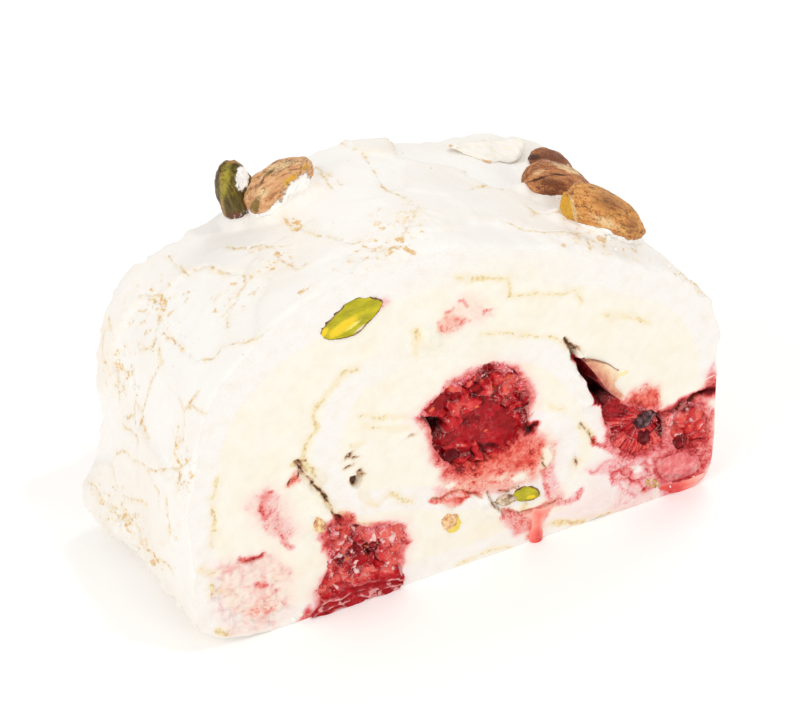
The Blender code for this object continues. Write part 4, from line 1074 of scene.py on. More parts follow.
SHADED_PITS = {  # hollows, painted near black as shade: depth, outline
    "raspberry_centre": (
        (2.2, ((-7.2, 32), (-5.4, 31.3), (-3.5, 30.4), (-2.5, 28.1), (-3.8, 27.4), (-5.3, 27.4),
            (-6, 29.2))),
        (2.2, ((11.6, 24), (13.6, 23.8), (13.9, 22.3), (12.2, 22.2)))),
    "raspberry_lower_left": (
        (0.9, ((-23.4, 19.6), (-21.6, 18), (-19.8, 16.2), (-18, 14.9), (-16.2, 14), (-14.4, 13.6),
            (-12.9, 13.4), (-14.5, 13.1), (-16.4, 13.4), (-18.5, 14.2), (-20.4, 15.5), (-22.2, 17.2))),),
    "raspberry_right_inner": ((1.3, ((38.3, 17.2), (39.4, 17), (39.7, 15), (38.9, 14.8))),),
    "raspberry_back_centre": ((2.4, ((-4.2, 29.4), (-2.6, 31.4), (0.2, 31), (0.4, 29.2), (-1.6, 28.2))),),
    "raspberry_back_left": ((1.8, ((-36.6, 31.2), (-35.4, 33), (-34.4, 31.4), (-35.2, 29.8))),),
    "raspberry_back_lower": ((2, ((-30.6, 11.8), (-28.8, 12.8), (-27.4, 11.6), (-29, 10.2))),),
    "raspberry_back_right": ((2, ((36.8, 14.8), (38.2, 16.2), (39.6, 14.8), (38.2, 13.4))),)}
GLINTS = (  # small wet lights: middle, radii, lean
    (-5.4, 32.8, 0.9, 0.4, 10), (-2.1, 35.4, 0.6, 0.5, 0), (3.1, 30.4, 0.5, 0.5, 0),
    (8.6, 34.4, 0.8, 0.4, 20), (7, 32.7, 0.5, 0.3, 0), (4, 35.2, 0.4, 0.3, 0), (5.5, 24.4, 0.6, 0.4, 0),
    (45.2, 12.6, 0.5, 0.3, 0), (-17, 9.4, 0.5, 0.3, 0), (-15.2, 12, 0.4, 0.3, 0), (-20.4, 8.6, 0.4, 0.3, 0))
RADIAL = {  # halved across: middle that the beads point to
    "raspberry_right_inner": (36, 17.2), "raspberry_back_centre": (-2, 30),
    "raspberry_back_right": (38.2, 14.8), "raspberry_back_lower": (-29, 11.5)}
BEADS_ROUND, BEAD_LENGTH = 17, 5.2  # of a berry halved across
BEAD_WIDTH = 2.7
BEAD = {"raspberry_lower_left": 2.2, "raspberry_right_outer": 2.2, "raspberry_right_lower": 3.4}
BRIGHTER = {  # added to the tone of the whole berry
    "raspberry_lower_left": 0.38, "raspberry_right_outer": 0.38, "raspberry_right_inner": 0.13,
    "raspberry_centre": -0.01}


def halved_beads(points, middle, seed):
    """Beads cut along, in rows round the middle: each one's number, the distance to a seam, and
    the turn round the middle, counted in beads."""
    off = points - np.array(middle)
    girth = np.hypot(off[:, 0], off[:, 1]) + 0.8
    turn = np.arctan2(off[:, 1], off[:, 0]) / math.tau * BEADS_ROUND
    row = np.floor(girth / BEAD_LENGTH)
    place = turn + 0.5 * (row % 2)
    number = scatter(np.stack([np.floor(place) % BEADS_ROUND, row], 1).astype(np.int64), seed)
    to_side = np.abs(place - np.floor(place) - 0.5) * math.tau * np.maximum(girth, 1.5) / BEADS_ROUND
    half_width = 0.5 * math.tau * np.maximum(girth, 1.5) / BEADS_ROUND
    to_end = np.abs(girth / BEAD_LENGTH - row - 0.5) * BEAD_LENGTH
    return number, np.minimum(half_width - to_side, BEAD_LENGTH / 2 - to_end), turn


def berry_surface(name, points, outline, seed):
    """Depth of the berry behind the knife's plane, and the masks that colour it."""
    shake = 0.14 if name in RADIAL else 0.45
    shaken = points + shake * jitter(points, 1.9, seed, seed + 3, octaves=3)
    if name in RADIAL:
        number, seam, turn = halved_beads(shaken, RADIAL[name], seed)
        tilt = 0
    else:
        first, second, number, way = cells(shaken, BEAD.get(name, BEAD_WIDTH), seed)
        seam = (second - first) / 2
        tilt = 0.42 * (way[:, 0] * np.cos(number * 40) + way[:, 1] * np.sin(number * 40))
    whole = np.sqrt(np.clip(seam / 0.9, 0, 1))
    piece_near, piece_next, piece, way = cells(shaken, 1.15, seed + 11)
    shred = (piece_next - piece_near) / 2
    facet = 0.4 * (way[:, 0] * np.cos(piece * 40) + way[:, 1] * np.sin(piece * 40))
    crushed = smooth(-0.1, 0.4, lumps(points, 4.2, seed + 13)) * (0.0 if name in RADIAL else 0.9)
    within = inside(points, outline)
    depth = (1.35 - 0.75 * whole - 0.6 * (number - 0.5) + 0.35 * lumps(points, 5.0, seed + 5) + tilt
             - crushed * (0.5 * (piece - 0.5) + facet) + 0.06 * lumps(points, 0.8, seed + 6, 2)
             - 0.22 * smooth(0.16, 0.0, seam))
    # Tone falls towards the seams between beads, where the surface lies deeper: painted shade in those
    # recesses, partly also the berry's translucence.
    tone = 0.55 + 0.5 * (number - 0.5) + crushed * 0.5 * (piece - 0.5) - 0.12 * (1 - whole)
    if name in RADIAL:
        tone += 0.16 * np.sin(turn * math.tau * 3 + 2 * lumps(points, 1.5, seed + 26))
    flesh = np.zeros(len(points))
    for level, soft_outline in SOFT_PLACES.get(name, ()):
        here = smooth(-0.25, 0.25, inside(shaken, soft_outline))
        ripple = 0.24 * lumps(points, 3.0, seed + 7) + 0.16 * np.abs(lumps(points, 1.3, seed + 8, 2))
        depth = depth * (1 - here) + here * (level + ripple)
        flesh = np.maximum(flesh, here)
    tone = tone * (1 - 0.75 * flesh) + 0.40 * 0.75 * flesh + BRIGHTER.get(name, 0.0)
    pale, swollen = np.zeros(len(points)), np.zeros(len(points), bool)
    for level, height, shade, body in DOMES.get(name, ()):
        within_body = inside(shaken, body)
        there = within_body > 0
        swollen |= there
        crown = np.sqrt(np.clip(within_body / within_body.max(), 0, 1))
        depth = np.where(there, level - height * crown, depth)
        tone = np.where(there, shade, tone)
        seam = np.where(there, FAR, np.minimum(seam, np.where(within_body > -0.35, -within_body, FAR)))
        flesh = np.where(there, 0.6, flesh)
    for change, patch in TONES.get(name, ()):
        tone = tone + change * smooth(-0.35, 0.35, inside(shaken, patch))
    dark = np.zeros(len(points))
    for deep, pit in SHADED_PITS.get(name, ()):
        hole = smooth(-0.2, 0.3, inside(shaken, pit))
        dark, depth = np.maximum(dark, hole), depth + deep * hole
    tone = tone.mean() + 1.4 * (tone - tone.mean())
    grey = np.zeros(len(points))
    for strength, patch in GREY.get(name, ()):
        grey = np.maximum(grey, strength * smooth(-0.3, 0.3, inside(shaken, patch)))
    milk = np.full(len(points), 1.0 if name == "raspberry_right_lower" else 0.0)
    if name == "raspberry_right_lower":
        milk *= smooth(2.2, 3.0, points[:, 1])
    if name == "raspberry_lower_left":  # a wet film of juice hangs over the foot of this one
        from_top = shaken[:, 1] - (3.9 - 0.02 * (shaken[:, 0] + 18) ** 2)
        film = smooth(0.3, -0.4, from_top)
        slope = from_top + 0.10 * shaken[:, 0] + 0.5 * lumps(points, 3.0, seed + 21)
        wave = np.sin(math.tau * slope / 1.25)
        depth = depth * (1 - film) + film * (-0.45 - 0.2 * wave + 0.1 * lumps(points, 2.0, seed + 22))
        tone = tone * (1 - film) + film * 0.42
        # Pale crests along the film's ripples: painted highlights.
        crest = smooth(0.6, 1.0, wave) * smooth(-0.5, 0.2, lumps(points, 2.5, seed + 23, 2))
        pale = np.maximum(pale, film * crest)
        flesh = np.maximum(flesh, film)
    if name in ("raspberry_lower_left", "raspberry_right_outer"):  # threads of white skin, and specks of painted glint
        threads = smooth(0.16, 0.04, np.abs(lumps(shaken, 1.8, seed + 31, 2)))
        threads *= smooth(0.0, 0.5, lumps(points, 3.4, seed + 33))
        specks = smooth(0.48, 0.72, lumps(shaken, 0.95, seed + 35, 2))
        pale = np.maximum(pale, np.maximum(0.7 * threads, specks) * ~swollen)
    edge = within + 0.5 * lumps(points, 1.0, seed + 24, 3)
    above = smooth(-0.5, 0.7, (points[:, 1] - outline[:, 1].mean()) / np.ptp(outline[:, 1]) * 2)
    fuzz = smooth(2.4, 0.0, edge) * (0.25 + 0.75 * above) * (1 - dark) * (1 - flesh)
    fuzz *= name != "raspberry_right_lower"
    glint = np.zeros(len(points))
    if name not in BACK_BERRIES:
        glint = np.minimum(sum(blob(shaken, *place) for place in GLINTS), 1.0)
    top = -0.8 if name == "raspberry_lower_left" else 0.0
    rim = 0.35 if name == "raspberry_right_lower" else 0.9
    depth = np.maximum(depth, top) + rim * smooth(0.3, -0.2, within) * (flesh < 0.5)
    seam = np.where(flesh > 0.5, FAR, seam)
    shred = shred + 3 * (1 - crushed) + FAR * flesh
    return depth, {"tone": tone, "seam": seam, "shred": shred, "flesh": flesh, "dark": dark, "fuzz": fuzz,
                   "grey": grey, "milk": milk, "pale": pale, "glint": glint}


def rounded(corners, step):
    """A closed smooth outline through the corners."""
    corners = np.asarray(corners, float)
    looped = np.concatenate([corners[-1:], corners, corners[:2]])
    return curve(looped, evenly(looped, 1, len(corners) + 1, step))[:-1]


def walls(*rings):
    """Faces of the wall through closed rings of vertices."""
    grid = np.array(rings).T
    return quads(np.vstack([grid, grid[:1]]))


def tapered(rim, outline, stations):
    """Faces behind a cut's rim: rings of its outline that narrow towards the middle, and an end.
    Each station is a place from front to back and a share of the outline's width."""
    rings, centre = [rim], outline.mean(0)
    for y, girth in stations:
        section = centre + (outline - centre) * girth
        section[:, 0] = np.minimum(section[:, 0], BERRY_LIMIT)
        rings.append(extra(at_depth(section, y)))
    return face_list(walls(*rings), rings[-1:])


berry_finish = Finish("raspberry", Roughness=0.2, IOR=1.42, Specular_IOR_Level=0.06, Coat_Weight=0.16,
                      Coat_Roughness=0.03)
tone, seam, shred, flesh, dark, fuzz, grey, milk, pale, glint = (berry_finish.mask(name) for name in (
    "tone", "seam", "shred", "flesh", "dark", "fuzz", "grey", "milk", "pale", "glint"))
mottle, fine = berry_finish.grain(1.0, 3.0, 0.6), berry_finish.grain(0.32, 2.0)
cloudy = berry_finish.grain(2.6, 2.0)
crinkle = abs(berry_finish.grain(1.5, 2.0) - 0.5)
shade = berry_finish.ramp(
    tone + (mottle - 0.5) * 0.7 + (cloudy - 0.5) * 0.3, (0.05, colour(92, 2, 8)), (0.30, colour(146, 8, 18)),
    (0.55, colour(186, 24, 34)), (0.78, colour(216, 56, 56)), (1.0, colour(234, 104, 92)))
shade = berry_finish.blend(milk * 0.85, shade, berry_finish.ramp(
    mottle * 0.6 + cloudy * 0.4, (0.34, colour(232, 104, 108)), (0.50, colour(246, 142, 142)),
    (0.66, colour(254, 196, 190))))
veins = ((seam + (fine - 0.5) * 0.4).below(-0.02, 0.17) * cloudy.above(0.30, 0.46)).most(
    (shred + (fine - 0.5) * 0.25).below(-0.02, 0.10) * cloudy.above(0.50, 0.58) * 0.7)
fibres = crinkle.below(0.008, 0.028) * cloudy.above(0.46, 0.54) * (1 - flesh * 0.7)
# pale holds white skin threads and painted highlights: specks of glint and the film's crests.
veins = veins.most(fibres * 0.6).most(pale)
shade = berry_finish.blend(veins * 0.7, shade, colour(238, 150, 148))
pale_skin_and_glints = (pale + (fine - 0.5) * 0.5).above(0.5, 0.95) * (1 - flesh * 0.6)
shade = berry_finish.blend(pale_skin_and_glints * 0.85, shade, colour(252, 214, 210))
bloom = (fuzz + ((fine - 0.5) * 0.7 + (mottle - 0.5) * 1.1) * fuzz.above(0.0, 0.3)).above(0.25, 0.95)
shade = berry_finish.blend(bloom * 0.8, shade, berry_finish.ramp(
    fine, (0.35, colour(226, 84, 96)), (0.5, colour(240, 142, 150)), (0.62, colour(250, 198, 200))))
# White specks, partly bits of cream and partly painted sparkle of wet light.
cream_specks_and_painted_sparkle = fine.above(0.60, 0.66) * crinkle.below(0.02, 0.07) * cloudy.above(0.46, 0.54) * (1 - flesh)
shade = berry_finish.blend(cream_specks_and_painted_sparkle * 0.85, shade, colour(253, 226, 224))
# Orange seeds in their own colour, and painted highlights at the glints.
seeds = berry_finish.grain(0.75, 1.0).above(0.70, 0.78) * (1 - flesh)
glints_and_seeds = (glint + (fine - 0.5) * 0.5).above(0.35, 0.8).most(seeds * 0.4)
shade = berry_finish.blend(glints_and_seeds * 0.8, shade, colour(240, 116, 72))
shade = berry_finish.blend(grey.above(0.1, 1.0) * 0.95, shade, berry_finish.ramp(
    mottle, (0.38, colour(40, 20, 24)), (0.5, colour(82, 58, 62)), (0.64, colour(134, 104, 106))))
# Painted shade: the hollows near black.
shade = berry_finish.blend(dark * 0.92, shade, colour(38, 2, 5))
berry_finish.drive(Base_Color=shade, Roughness=(mottle * 0.25 + bloom * 0.5 + 0.04).least(0.7))
berry_finish.bump((mottle * 0.20 + fine * 0.06) * (1 - flesh * 0.75) + veins * 0.10)

for name, cut in [*BERRY_CUTS.items(), *BACK_BERRIES.items()]:
    back = name in BACK_BERRIES
    seed = sum(map(ord, name)) % 97
    outline = rounded(cut, 0.45)
    outline[:, 1] = np.maximum(outline[:, 1], 0.02)
    flat_cut, triangles, around = fill(outline, BERRY_STEP)
    depth, masks = berry_surface(name, flat_cut, outline, seed)
    points = []
    face = extra(at_depth(flat_cut, BACK - depth if back else FRONT + depth))
    bed, inwards = (BACK - BERRY_BED, -BERRY_BACK) if back else (FRONT + BERRY_BED, BERRY_BACK)
    stations = [(bed + inwards * reach, girth) for reach, girth in ((0.35, 1.0), (0.7, 0.85), (1.0, 0.5))]
    faces = face_list(face[triangles], tapered(face[around], outline, stations))
    points = np.concatenate(points)
    for mask, values in masks.items():
        masks[mask] = np.concatenate([values, np.full(len(points) - len(values), 1.0)])
    make_piece(name, points, faces, masks, berry_finish, (name,), 60)

# ---- pistachios ------------------------------------------------------------------------------
# Whole roasted kernels pressed on the crust before baking, in their papery wrinkled skins, and
# two that the knife cut through, green and yellow inside a thin dark skin.
# Marks: kind, (right, up) from the kernel's middle as it is seen in front, radii, lean, strength.
KERNEL_MARKS = {
    "pistachio_top_left_tan": (("olive", -4.1, -2.6, 0.8, 1.1, -50, 1),
        ("brown", -4, -3.2, 0.6, 0.5, 0, 0.9), ("olive", -1.3, 1.8, 1.2, 0.35, 35, 0.9),
        ("brown", -2.6, 0.6, 1, 0.25, 50, 0.8), ("brown", 2.2, 3.5, 0.9, 0.2, 20, 0.8),
        ("yolk", 2.6, 0.5, 1.8, 0.7, 25, 0.8), ("yolk", 5, 2.3, 1, 0.6, 30, 0.8),
        ("olive", 4.9, 4, 1.3, 0.6, -20, 0.9), ("pale", -2.5, -1.2, 1, 0.7, 30, 0.9),
        ("pale", 1, 2.8, 3, 0.9, 12, 0.7), ("brown", -1, -1.4, 1.6, 0.9, 40, 0.35),
        ("powder", 3.6, -1, 3.4, 1.3, 38, 1.2), ("powder", 0.6, -3.4, 2.4, 0.6, 20, 1.1)),
    "pistachio_top_left_green": (("lime", -1.5, 1.8, 1, 2.8, -15, 0.9),
        ("powder", 1.5, 2.3, 1.1, 1.9, -15, 1), ("tan", 1, 4.8, 2.8, 0.6, 5, 1.1),
        ("brown", -0.2, -3.9, 3.4, 1.2, -8, 2.4), ("brown", 1.9, -2, 0.9, 1.8, 0, 0.5),
        ("tan", -2.8, -2.4, 0.6, 2, 0, 1.2), ("tan", -2.2, 2.2, 0.4, 1.8, -15, 0.8)),
    "pistachio_top_right_front": (("yolk", -6.3, 0.9, 1.1, 2.3, 14, 1.4),
        ("pale", -4.9, 0.6, 0.35, 2.6, 14, 1), ("line", -5.2, -1.6, 0.2, 1.2, 30, 0.9),
        ("pale", -2.6, -2.2, 2.4, 0.45, -14, 1), ("brown", 0.9, 1.7, 3.8, 1.8, -22, 0.56),
        ("brown", 4.9, -1.4, 1.8, 1.6, -40, 0.55), ("brown", 4.6, -2.6, 0.9, 0.5, 20, 0.6),
        ("brown", 4.9, 1.6, 2.4, 0.7, -35, 0.6), ("pale", 0.2, -1.2, 3, 0.8, -22, 0.6),
        ("powder", 0.2, -3.3, 1.8, 0.6, -10, 1)),
    "pistachio_top_right_middle": (("brown", -0.6, -2.6, 3, 1.6, -30, 1.3),
        ("line", -3.3, 1.1, 2, 0.16, 14, 1), ("line", 0, 1.6, 1.6, 0.16, -8, 1),
        ("brown", -0.6, 0.2, 3, 1, -20, 0.75), ("pale", 2, 2.3, 3.4, 0.5, -22, 0.9),
        ("pale", -3, 2.2, 1.6, 0.4, 20, 0.5), ("brown", 2.6, -0.8, 2, 1.5, -30, 0.5)),
    "pistachio_top_right_rear": (("brown", 0, 0.8, 4, 2, 0, 0.9), ("line", -3.2, 1.2, 1, 0.5, 0, 1))}


def kernel_marks(points, middle, half, marks):
    """How strongly each kind of mark lies at each point of a kernel."""
    sideways = camera.rotation_euler.to_matrix() @ Vector((1, 0, 0))
    upwards = camera.rotation_euler.to_matrix() @ Vector((0, 1, 0))
    fields = {kind: np.zeros(len(points)) for kind in (
        "yolk", "brown", "olive", "lime", "pale", "powder", "tan", "line")}
    off = points - np.array(middle)
    across, up = off @ np.array(sideways), off @ np.array(upwards)
    facing = smooth(-0.8, 0.6, off @ np.array(towards_camera) / min(half[1:]))
    for kind, x, z, wide, high, lean, strength in marks:
        place = blob(np.stack([across, up], 1), x, z, wide, high, lean)
        fields[kind] = np.maximum(fields[kind], strength * place * facing)
    return fields


def nut_finish(name, skin_stops):
    """Papery or fleshy nut, wrinkled along its length."""
    finish = Finish(name, Roughness=0.42, IOR=1.45, Specular_IOR_Level=0.4, Emission_Strength=1.0)
    drawn_out = finish.stretched(0.30, 1.0, 1.0)
    folds = finish.grain(0.62, 5.0, 0.66, drawn_out)
    wrinkle = abs(finish.grain(1.1, 3.0, 0.6, drawn_out) - 0.5)
    patches, fine = finish.grain(2.4, 3.0, 0.6), finish.grain(0.3, 3.0, 0.6)
    shade = finish.ramp(folds * 0.8 + patches * 0.2, *skin_stops)
    dusky = finish.mask("dusky")
    dusky = (dusky + (patches - 0.5) * 0.8 * dusky.above(0.02, 0.2)).above(0.1, 0.9)
    shade = finish.blend(dusky * 0.9, shade, finish.ramp(
        folds, (0.32, colour(104, 46, 20)), (0.46, colour(168, 92, 46)), (0.60, colour(212, 138, 78))))
    shade = finish.blend(finish.mask("golden") * 0.85, shade, finish.ramp(
        folds * 0.5 + fine * 0.5, (0.37, colour(140, 72, 30)), (0.45, colour(208, 130, 58)),
        (0.56, colour(240, 172, 82)), (0.66, colour(252, 202, 122))))
    for mark, tint, edge in (
            ("tan", colour(206, 150, 84), 0.5), ("pale", colour(250, 214, 160), 0.35),
            ("brown", colour(122, 66, 38), 0.45), ("olive", colour(136, 112, 46), 0.4),
            ("lime", colour(182, 166, 58), 0.4), ("yolk", colour(236, 178, 50), 0.4),
            ("line", colour(60, 30, 24), 0.35)):
        amount = finish.mask(mark)
        amount = amount + ((fine - 0.5) * 0.6 + (folds - 0.5) * 1.0) * amount.above(0.02, 0.3)
        shade = finish.blend(amount.above(edge - 0.25, edge + 0.35) * 0.9, shade, tint)
    smooth_face = finish.mask("yolk").above(0.2, 0.5) * finish.mask("cut_face")
    # Painted shade: the creases are drawn brown, partly the skin's own veins, and the low parts of the folds
    # are darkened.
    crease = wrinkle.below(0.004, 0.022) * patches.above(0.42, 0.54) * (1 - smooth_face)
    shade = finish.blend(crease * 0.65, shade, colour(104, 58, 40))
    shade = finish.blend(folds.below(0.34, 0.42) * (1 - smooth_face) * 0.4, shade, colour(112, 64, 42))
    freckle = fine.above(0.60, 0.66) * patches.above(0.46, 0.58)
    shade = finish.blend(freckle * 0.6, shade, colour(92, 50, 34))
    powder = (finish.mask("powder") + (finish.grain(0.7, 3.0, 0.6) - 0.5) * 0.9).above(0.32, 0.48)
    shade = finish.blend(powder, shade, finish.ramp(
        fine, (0.30, colour(232, 222, 208)), (0.38, colour(252, 249, 244)), (1.0, colour(255, 253, 250))))
    # The powder also gives off a little light: painted light that keeps the shaded powder white.
    finish.drive(Base_Color=shade, Roughness=(folds * 0.3 + powder * 0.3 + 0.26).least(0.8),
                 Emission_Color=finish.blend(powder, (0, 0, 0, 1), (0.16, 0.15, 0.14, 1)))
    finish.bump(folds * 0.55 + fine * 0.12 + powder * 0.30 - crease * 0.12)
    return finish


tan_skin = nut_finish("pistachio_tan", (
    (0.28, colour(172, 106, 68)), (0.41, colour(222, 156, 102)), (0.54, colour(242, 188, 136)),
    (0.72, colour(252, 220, 176))))
green_skin = nut_finish("pistachio_green", (
    (0.30, colour(46, 34, 10)), (0.44, colour(80, 66, 16)), (0.58, colour(122, 104, 30)),
    (0.76, colour(170, 148, 58))))
DUSKY = {
    "pistachio_top_right_front": 0.15, "pistachio_top_right_middle": 0.75, "pistachio_top_right_rear": 0.85}
crust_tree = kdtree.KDTree(crust_columns * (CRUST_ROWS + 1))
for spot, (x, z) in enumerate(plain):
    crust_tree.insert((x, ground[spot, 1], z), spot)
crust_tree.balance()


def ball(subdivisions):
    """A ball of radius 1: its vertices and triangles."""
    shape = bmesh.new()
    bmesh.ops.create_icosphere(shape, subdivisions=subdivisions, radius=1.0)
    aim = np.array([vertex.co.normalized() for vertex in shape.verts])
    triangles = np.array([tuple(vertex.index for vertex in face.verts) for face in shape.faces])
    shape.free()
    return aim, triangles


aim, triangles = ball(6)
for name, (middle, turn, half, seed) in NUTS_ON_TOP.items():
    width = 1 - 0.16 * aim[:, 0]
    swell = 1 + 0.05 * np.array([noise.noise(Vector(d) * 2.4 + Vector((seed, 0, 0))) for d in aim])
    seam = 1 - 0.09 * np.exp(-(aim[:, 2] / 0.16) ** 2) * smooth(-0.3, 0.5, aim[:, 1])
    own = aim * np.array(half) * np.stack([np.ones(len(aim)), width * seam, width], 1)
    drawn = own * np.array((0.35, 1.0, 1.0))
    swell += (0.055 * lumps(drawn, 1.7, seed, 2) - 0.035 * np.abs(lumps(drawn, 0.9, seed + 9, 2))
              + 0.012 * lumps(own, 0.6, seed + 5, 2) - 0.05 * np.exp(-((aim[:, 0] + 0.1) / 0.3) ** 2))
    own *= swell[:, None]
    points = own @ turned(turn).T + np.array(middle)
    masks = kernel_marks(points, middle, half, KERNEL_MARKS[name])
    above = np.array([crust_tree.find(point)[2] for point in points])
    contact = smooth(1.5, 0.3, above + 0.5 * lumps(points, 1.3, 311, 2)) * (points[:, 2] < middle[2] + 0.5)
    masks["powder"] = np.maximum(masks["powder"], contact * (0.3 if "green" in name else 1.0))
    masks["dusky"] = np.full(len(points), DUSKY.get(name, 0.0))
    masks["golden"] = masks["cut_face"] = np.full(len(points), float(name == "pistachio_top_right_front"))
    finish, slot = (green_skin, "pistachio_green") if "green" in name else (tan_skin, "pistachio_tan")
    make_piece(name, points, face_list(triangles), masks, finish, (name,), 60, own)

flesh_finish = Finish("pistachio_flesh", Roughness=0.3, IOR=1.45, Specular_IOR_Level=0.25, Coat_Weight=0.15,
                      Coat_Roughness=0.1)
rind, fine = flesh_finish.mask("rind"), flesh_finish.grain(0.35, 3.0, 0.6)
cloudy = flesh_finish.grain(1.1, 3.0, 0.55, flesh_finish.stretched(0.35, 1.0, 1.0))
shade = flesh_finish.ramp(
    cloudy, (0.3, colour(160, 152, 6)), (0.5, colour(188, 178, 8)), (0.68, colour(210, 196, 22)))
for mark, tint in (("yolk", colour(250, 214, 34)), ("pale", colour(250, 232, 110)),
                   ("brown", colour(120, 108, 84)), ("powder", colour(236, 226, 200))):
    amount = flesh_finish.mask(mark)
    amount = amount + (fine - 0.5) * 0.5 * amount.above(0.05, 0.3)
    shade = flesh_finish.blend(amount.above(0.3, 0.75) * 0.9, shade, tint)
edge = (rind + (fine - 0.5) * 0.8).above(0.4, 0.7)
shade = flesh_finish.blend(edge * 0.9, shade, flesh_finish.ramp(
    fine, (0.35, colour(64, 30, 26)), (0.52, colour(118, 66, 52)), (0.66, colour(176, 122, 84))))
flesh_finish.drive(Base_Color=shade, Roughness=edge * 0.35 + 0.2)
flesh_finish.bump(cloudy * 0.2 + fine * 0.08)

NUT_FACES = {  # outline of the cut, how far it reaches back, and its marks as seen on the cut
    "pistachio_cut_edge": (NUT_CUTS[0], 4.6, (("yolk", -21.5, 53.6, 3, 1.1, 22, 1.2),
        ("yolk", -25, 53.6, 1.2, 0.7, 30, 1.3), ("pale", -19.6, 53.4, 2, 0.5, 25, 0.8),
        ("powder", -18.3, 52.4, 1.6, 0.5, 25, 0.8))),
    "pistachio_cut_low": (NUT_CUTS[1], 3, (("powder", 10, 10, 0.6, 0.8, 0, 0.9),
        ("yolk", 13.4, 9.4, 1.2, 0.5, -10, 0.9)))}
for name, (cut, reach, marks) in NUT_FACES.items():
    outline = rounded(cut, 0.3)
    flat_cut, triangles, around = fill(outline, 0.2)
    within = inside(flat_cut, outline)
    lower_right = smooth(-0.6, 0.8, (flat_cut - outline.mean(0)) @ np.array((0.62, -0.78)) / 2.4)
    rind = smooth(0.42, 0.14, within + 0.12 * lumps(flat_cut, 0.9, 301, 2) + 0.24 * (1 - lower_right) - 0.08)
    depth = 0.05 + 0.12 * lumps(flat_cut, 1.6, 303, 2) - 0.22 * rind - 0.1
    depth += 0.45 * smooth(0.16, 0.0, within)
    points = []
    face = extra(at_depth(flat_cut, FRONT + depth))
    stations = [(FRONT + 0.5 + reach * way, girth)
                for way, girth in ((0.3, 0.97), (0.65, 0.8), (0.9, 0.5), (1.0, 0.2))]
    faces = face_list(face[triangles], tapered(face[around], outline, stations))
    points = np.concatenate(points)
    masks = {kind: np.zeros(len(points)) for kind in ("yolk", "brown", "pale", "powder")}
    masks["rind"] = np.ones(len(points))
    masks["rind"][face] = rind
    for kind, x, z, wide, high, lean, strength in marks:
        masks[kind][face] = np.maximum(masks[kind][face], strength * blob(flat_cut, x, z, wide, high, lean))
    own = points - points.mean(0)
    make_piece(name, points, faces, masks, flesh_finish, (name,), 60, own)

# ---- juice -----------------------------------------------------------------------------------
# Thin raspberry juice that ran out of the cut: a drip down to the plate, and a shallow pool at
# the foot of the crushed berries. It only wets what is there.
juice_finish = Finish("juice", Roughness=0.06, IOR=1.36, Coat_Weight=0.3, Coat_Roughness=0.02)
thick = juice_finish.mask("thick") + (juice_finish.grain(1.4, 3.0) - 0.5) * 0.4
juice_finish.drive(Base_Color=juice_finish.ramp(
    thick, (0.0, colour(254, 214, 200)), (0.35, colour(252, 176, 160)), (0.7, colour(246, 118, 104)),
    (1.0, colour(222, 62, 62))))
juice_finish.bump(juice_finish.grain(1.2, 2.0) * 0.10)
DRIPS = {  # outline on the cut, and how far it stands out
    "juice_drip": (((14, 6.6), (15.4, 6.4), (17.2, 6.3), (18.6, 6.5), (17.4, 5.2), (16.4, 3.9), (15.9, 2.4),
        (16.1, 1.2), (15.9, 0.2), (15, 0), (13.9, 0), (13.3, 0.6), (13.5, 2), (13.7, 3.6), (13.5, 5.4)),
        0.9),
    "juice_trickle": (((38.8, 2.1), (40, 2.5), (42.5, 2), (44.9, 1.9), (46.8, 2.2), (48.3, 2.2),
        (48.7, 1.6), (47.8, 0.9), (46, 0.3), (43.6, 0.05), (41.4, 0.4), (39.8, 1.2)), 0.45)}
for name, (cut, out) in DRIPS.items():
    outline = rounded(cut, 0.3)
    outline[:, 1] = np.maximum(outline[:, 1], 0.03)
    flat_cut, triangles, around = fill(outline, 0.22)
    within = inside(flat_cut, outline) * (flat_cut[:, 1] > 0.5) + (flat_cut[:, 1] <= 0.5) * np.maximum(
        inside(flat_cut + np.array((0.0, 1.0)), outline), 0)
    bulge = np.sqrt(np.clip(within / 1.3, 0, 1))
    low = smooth(4.0, 0.5, flat_cut[:, 1])
    y = FRONT + front_relief(flat_cut) * (1 - bulge) + 0.12 - (0.25 + (out - 0.25) * low) * bulge
    points = []
    face, rear = extra(at_depth(flat_cut, y)), extra(at_depth(outline, FRONT + 1.6))
    faces = face_list(face[triangles], walls(face[around], rear))
    depth_of_juice = 0.15 + 0.45 * bulge + 0.4 * low + 0.3 * smooth(20.0, 38.0, flat_cut[:, 0])
    depth_of_juice *= 1 - 0.7 * smooth(41.0, 47.5, flat_cut[:, 0])
    masks = {"thick": np.concatenate([np.clip(depth_of_juice, 0, 1), np.full(len(outline), 0.2)])}
    make_piece(name, np.concatenate(points), faces, masks, juice_finish, (), 70)

# ---- torn skin, bits of nut and crumbs --------------------------------------------------------
# What the knife dragged: a tan flap of the sheet's skin over the gap on the right, bits of
# chopped nut in the cream, and crumbs of crust.
FLAP = (
    (22.8, 33.5), (24.6, 33), (27.4, 31.3), (29.6, 29.3), (31.6, 28.4), (29.4, 27.6), (28.6, 27),
    (29.6, 25.4), (31, 23.6), (29, 24.5), (27, 26.9), (25.2, 29.8), (23.8, 31.8))
flap_finish = Finish("torn_skin", Roughness=0.6, IOR=1.45)
drift = flap_finish.grain(1.3, 3.0, 0.6)
shade = flap_finish.ramp(
    flap_finish.mask("from_gap") + (drift - 0.5) * 0.8, (0.0, colour(196, 112, 92)),
    (0.25, colour(226, 160, 126)), (0.5, colour(240, 198, 156)), (0.8, colour(251, 232, 198)),
    (1.0, colour(254, 245, 222)))
crown = (flap_finish.mask("crown") + (drift - 0.5) * 0.3).below(0.05, 0.30)
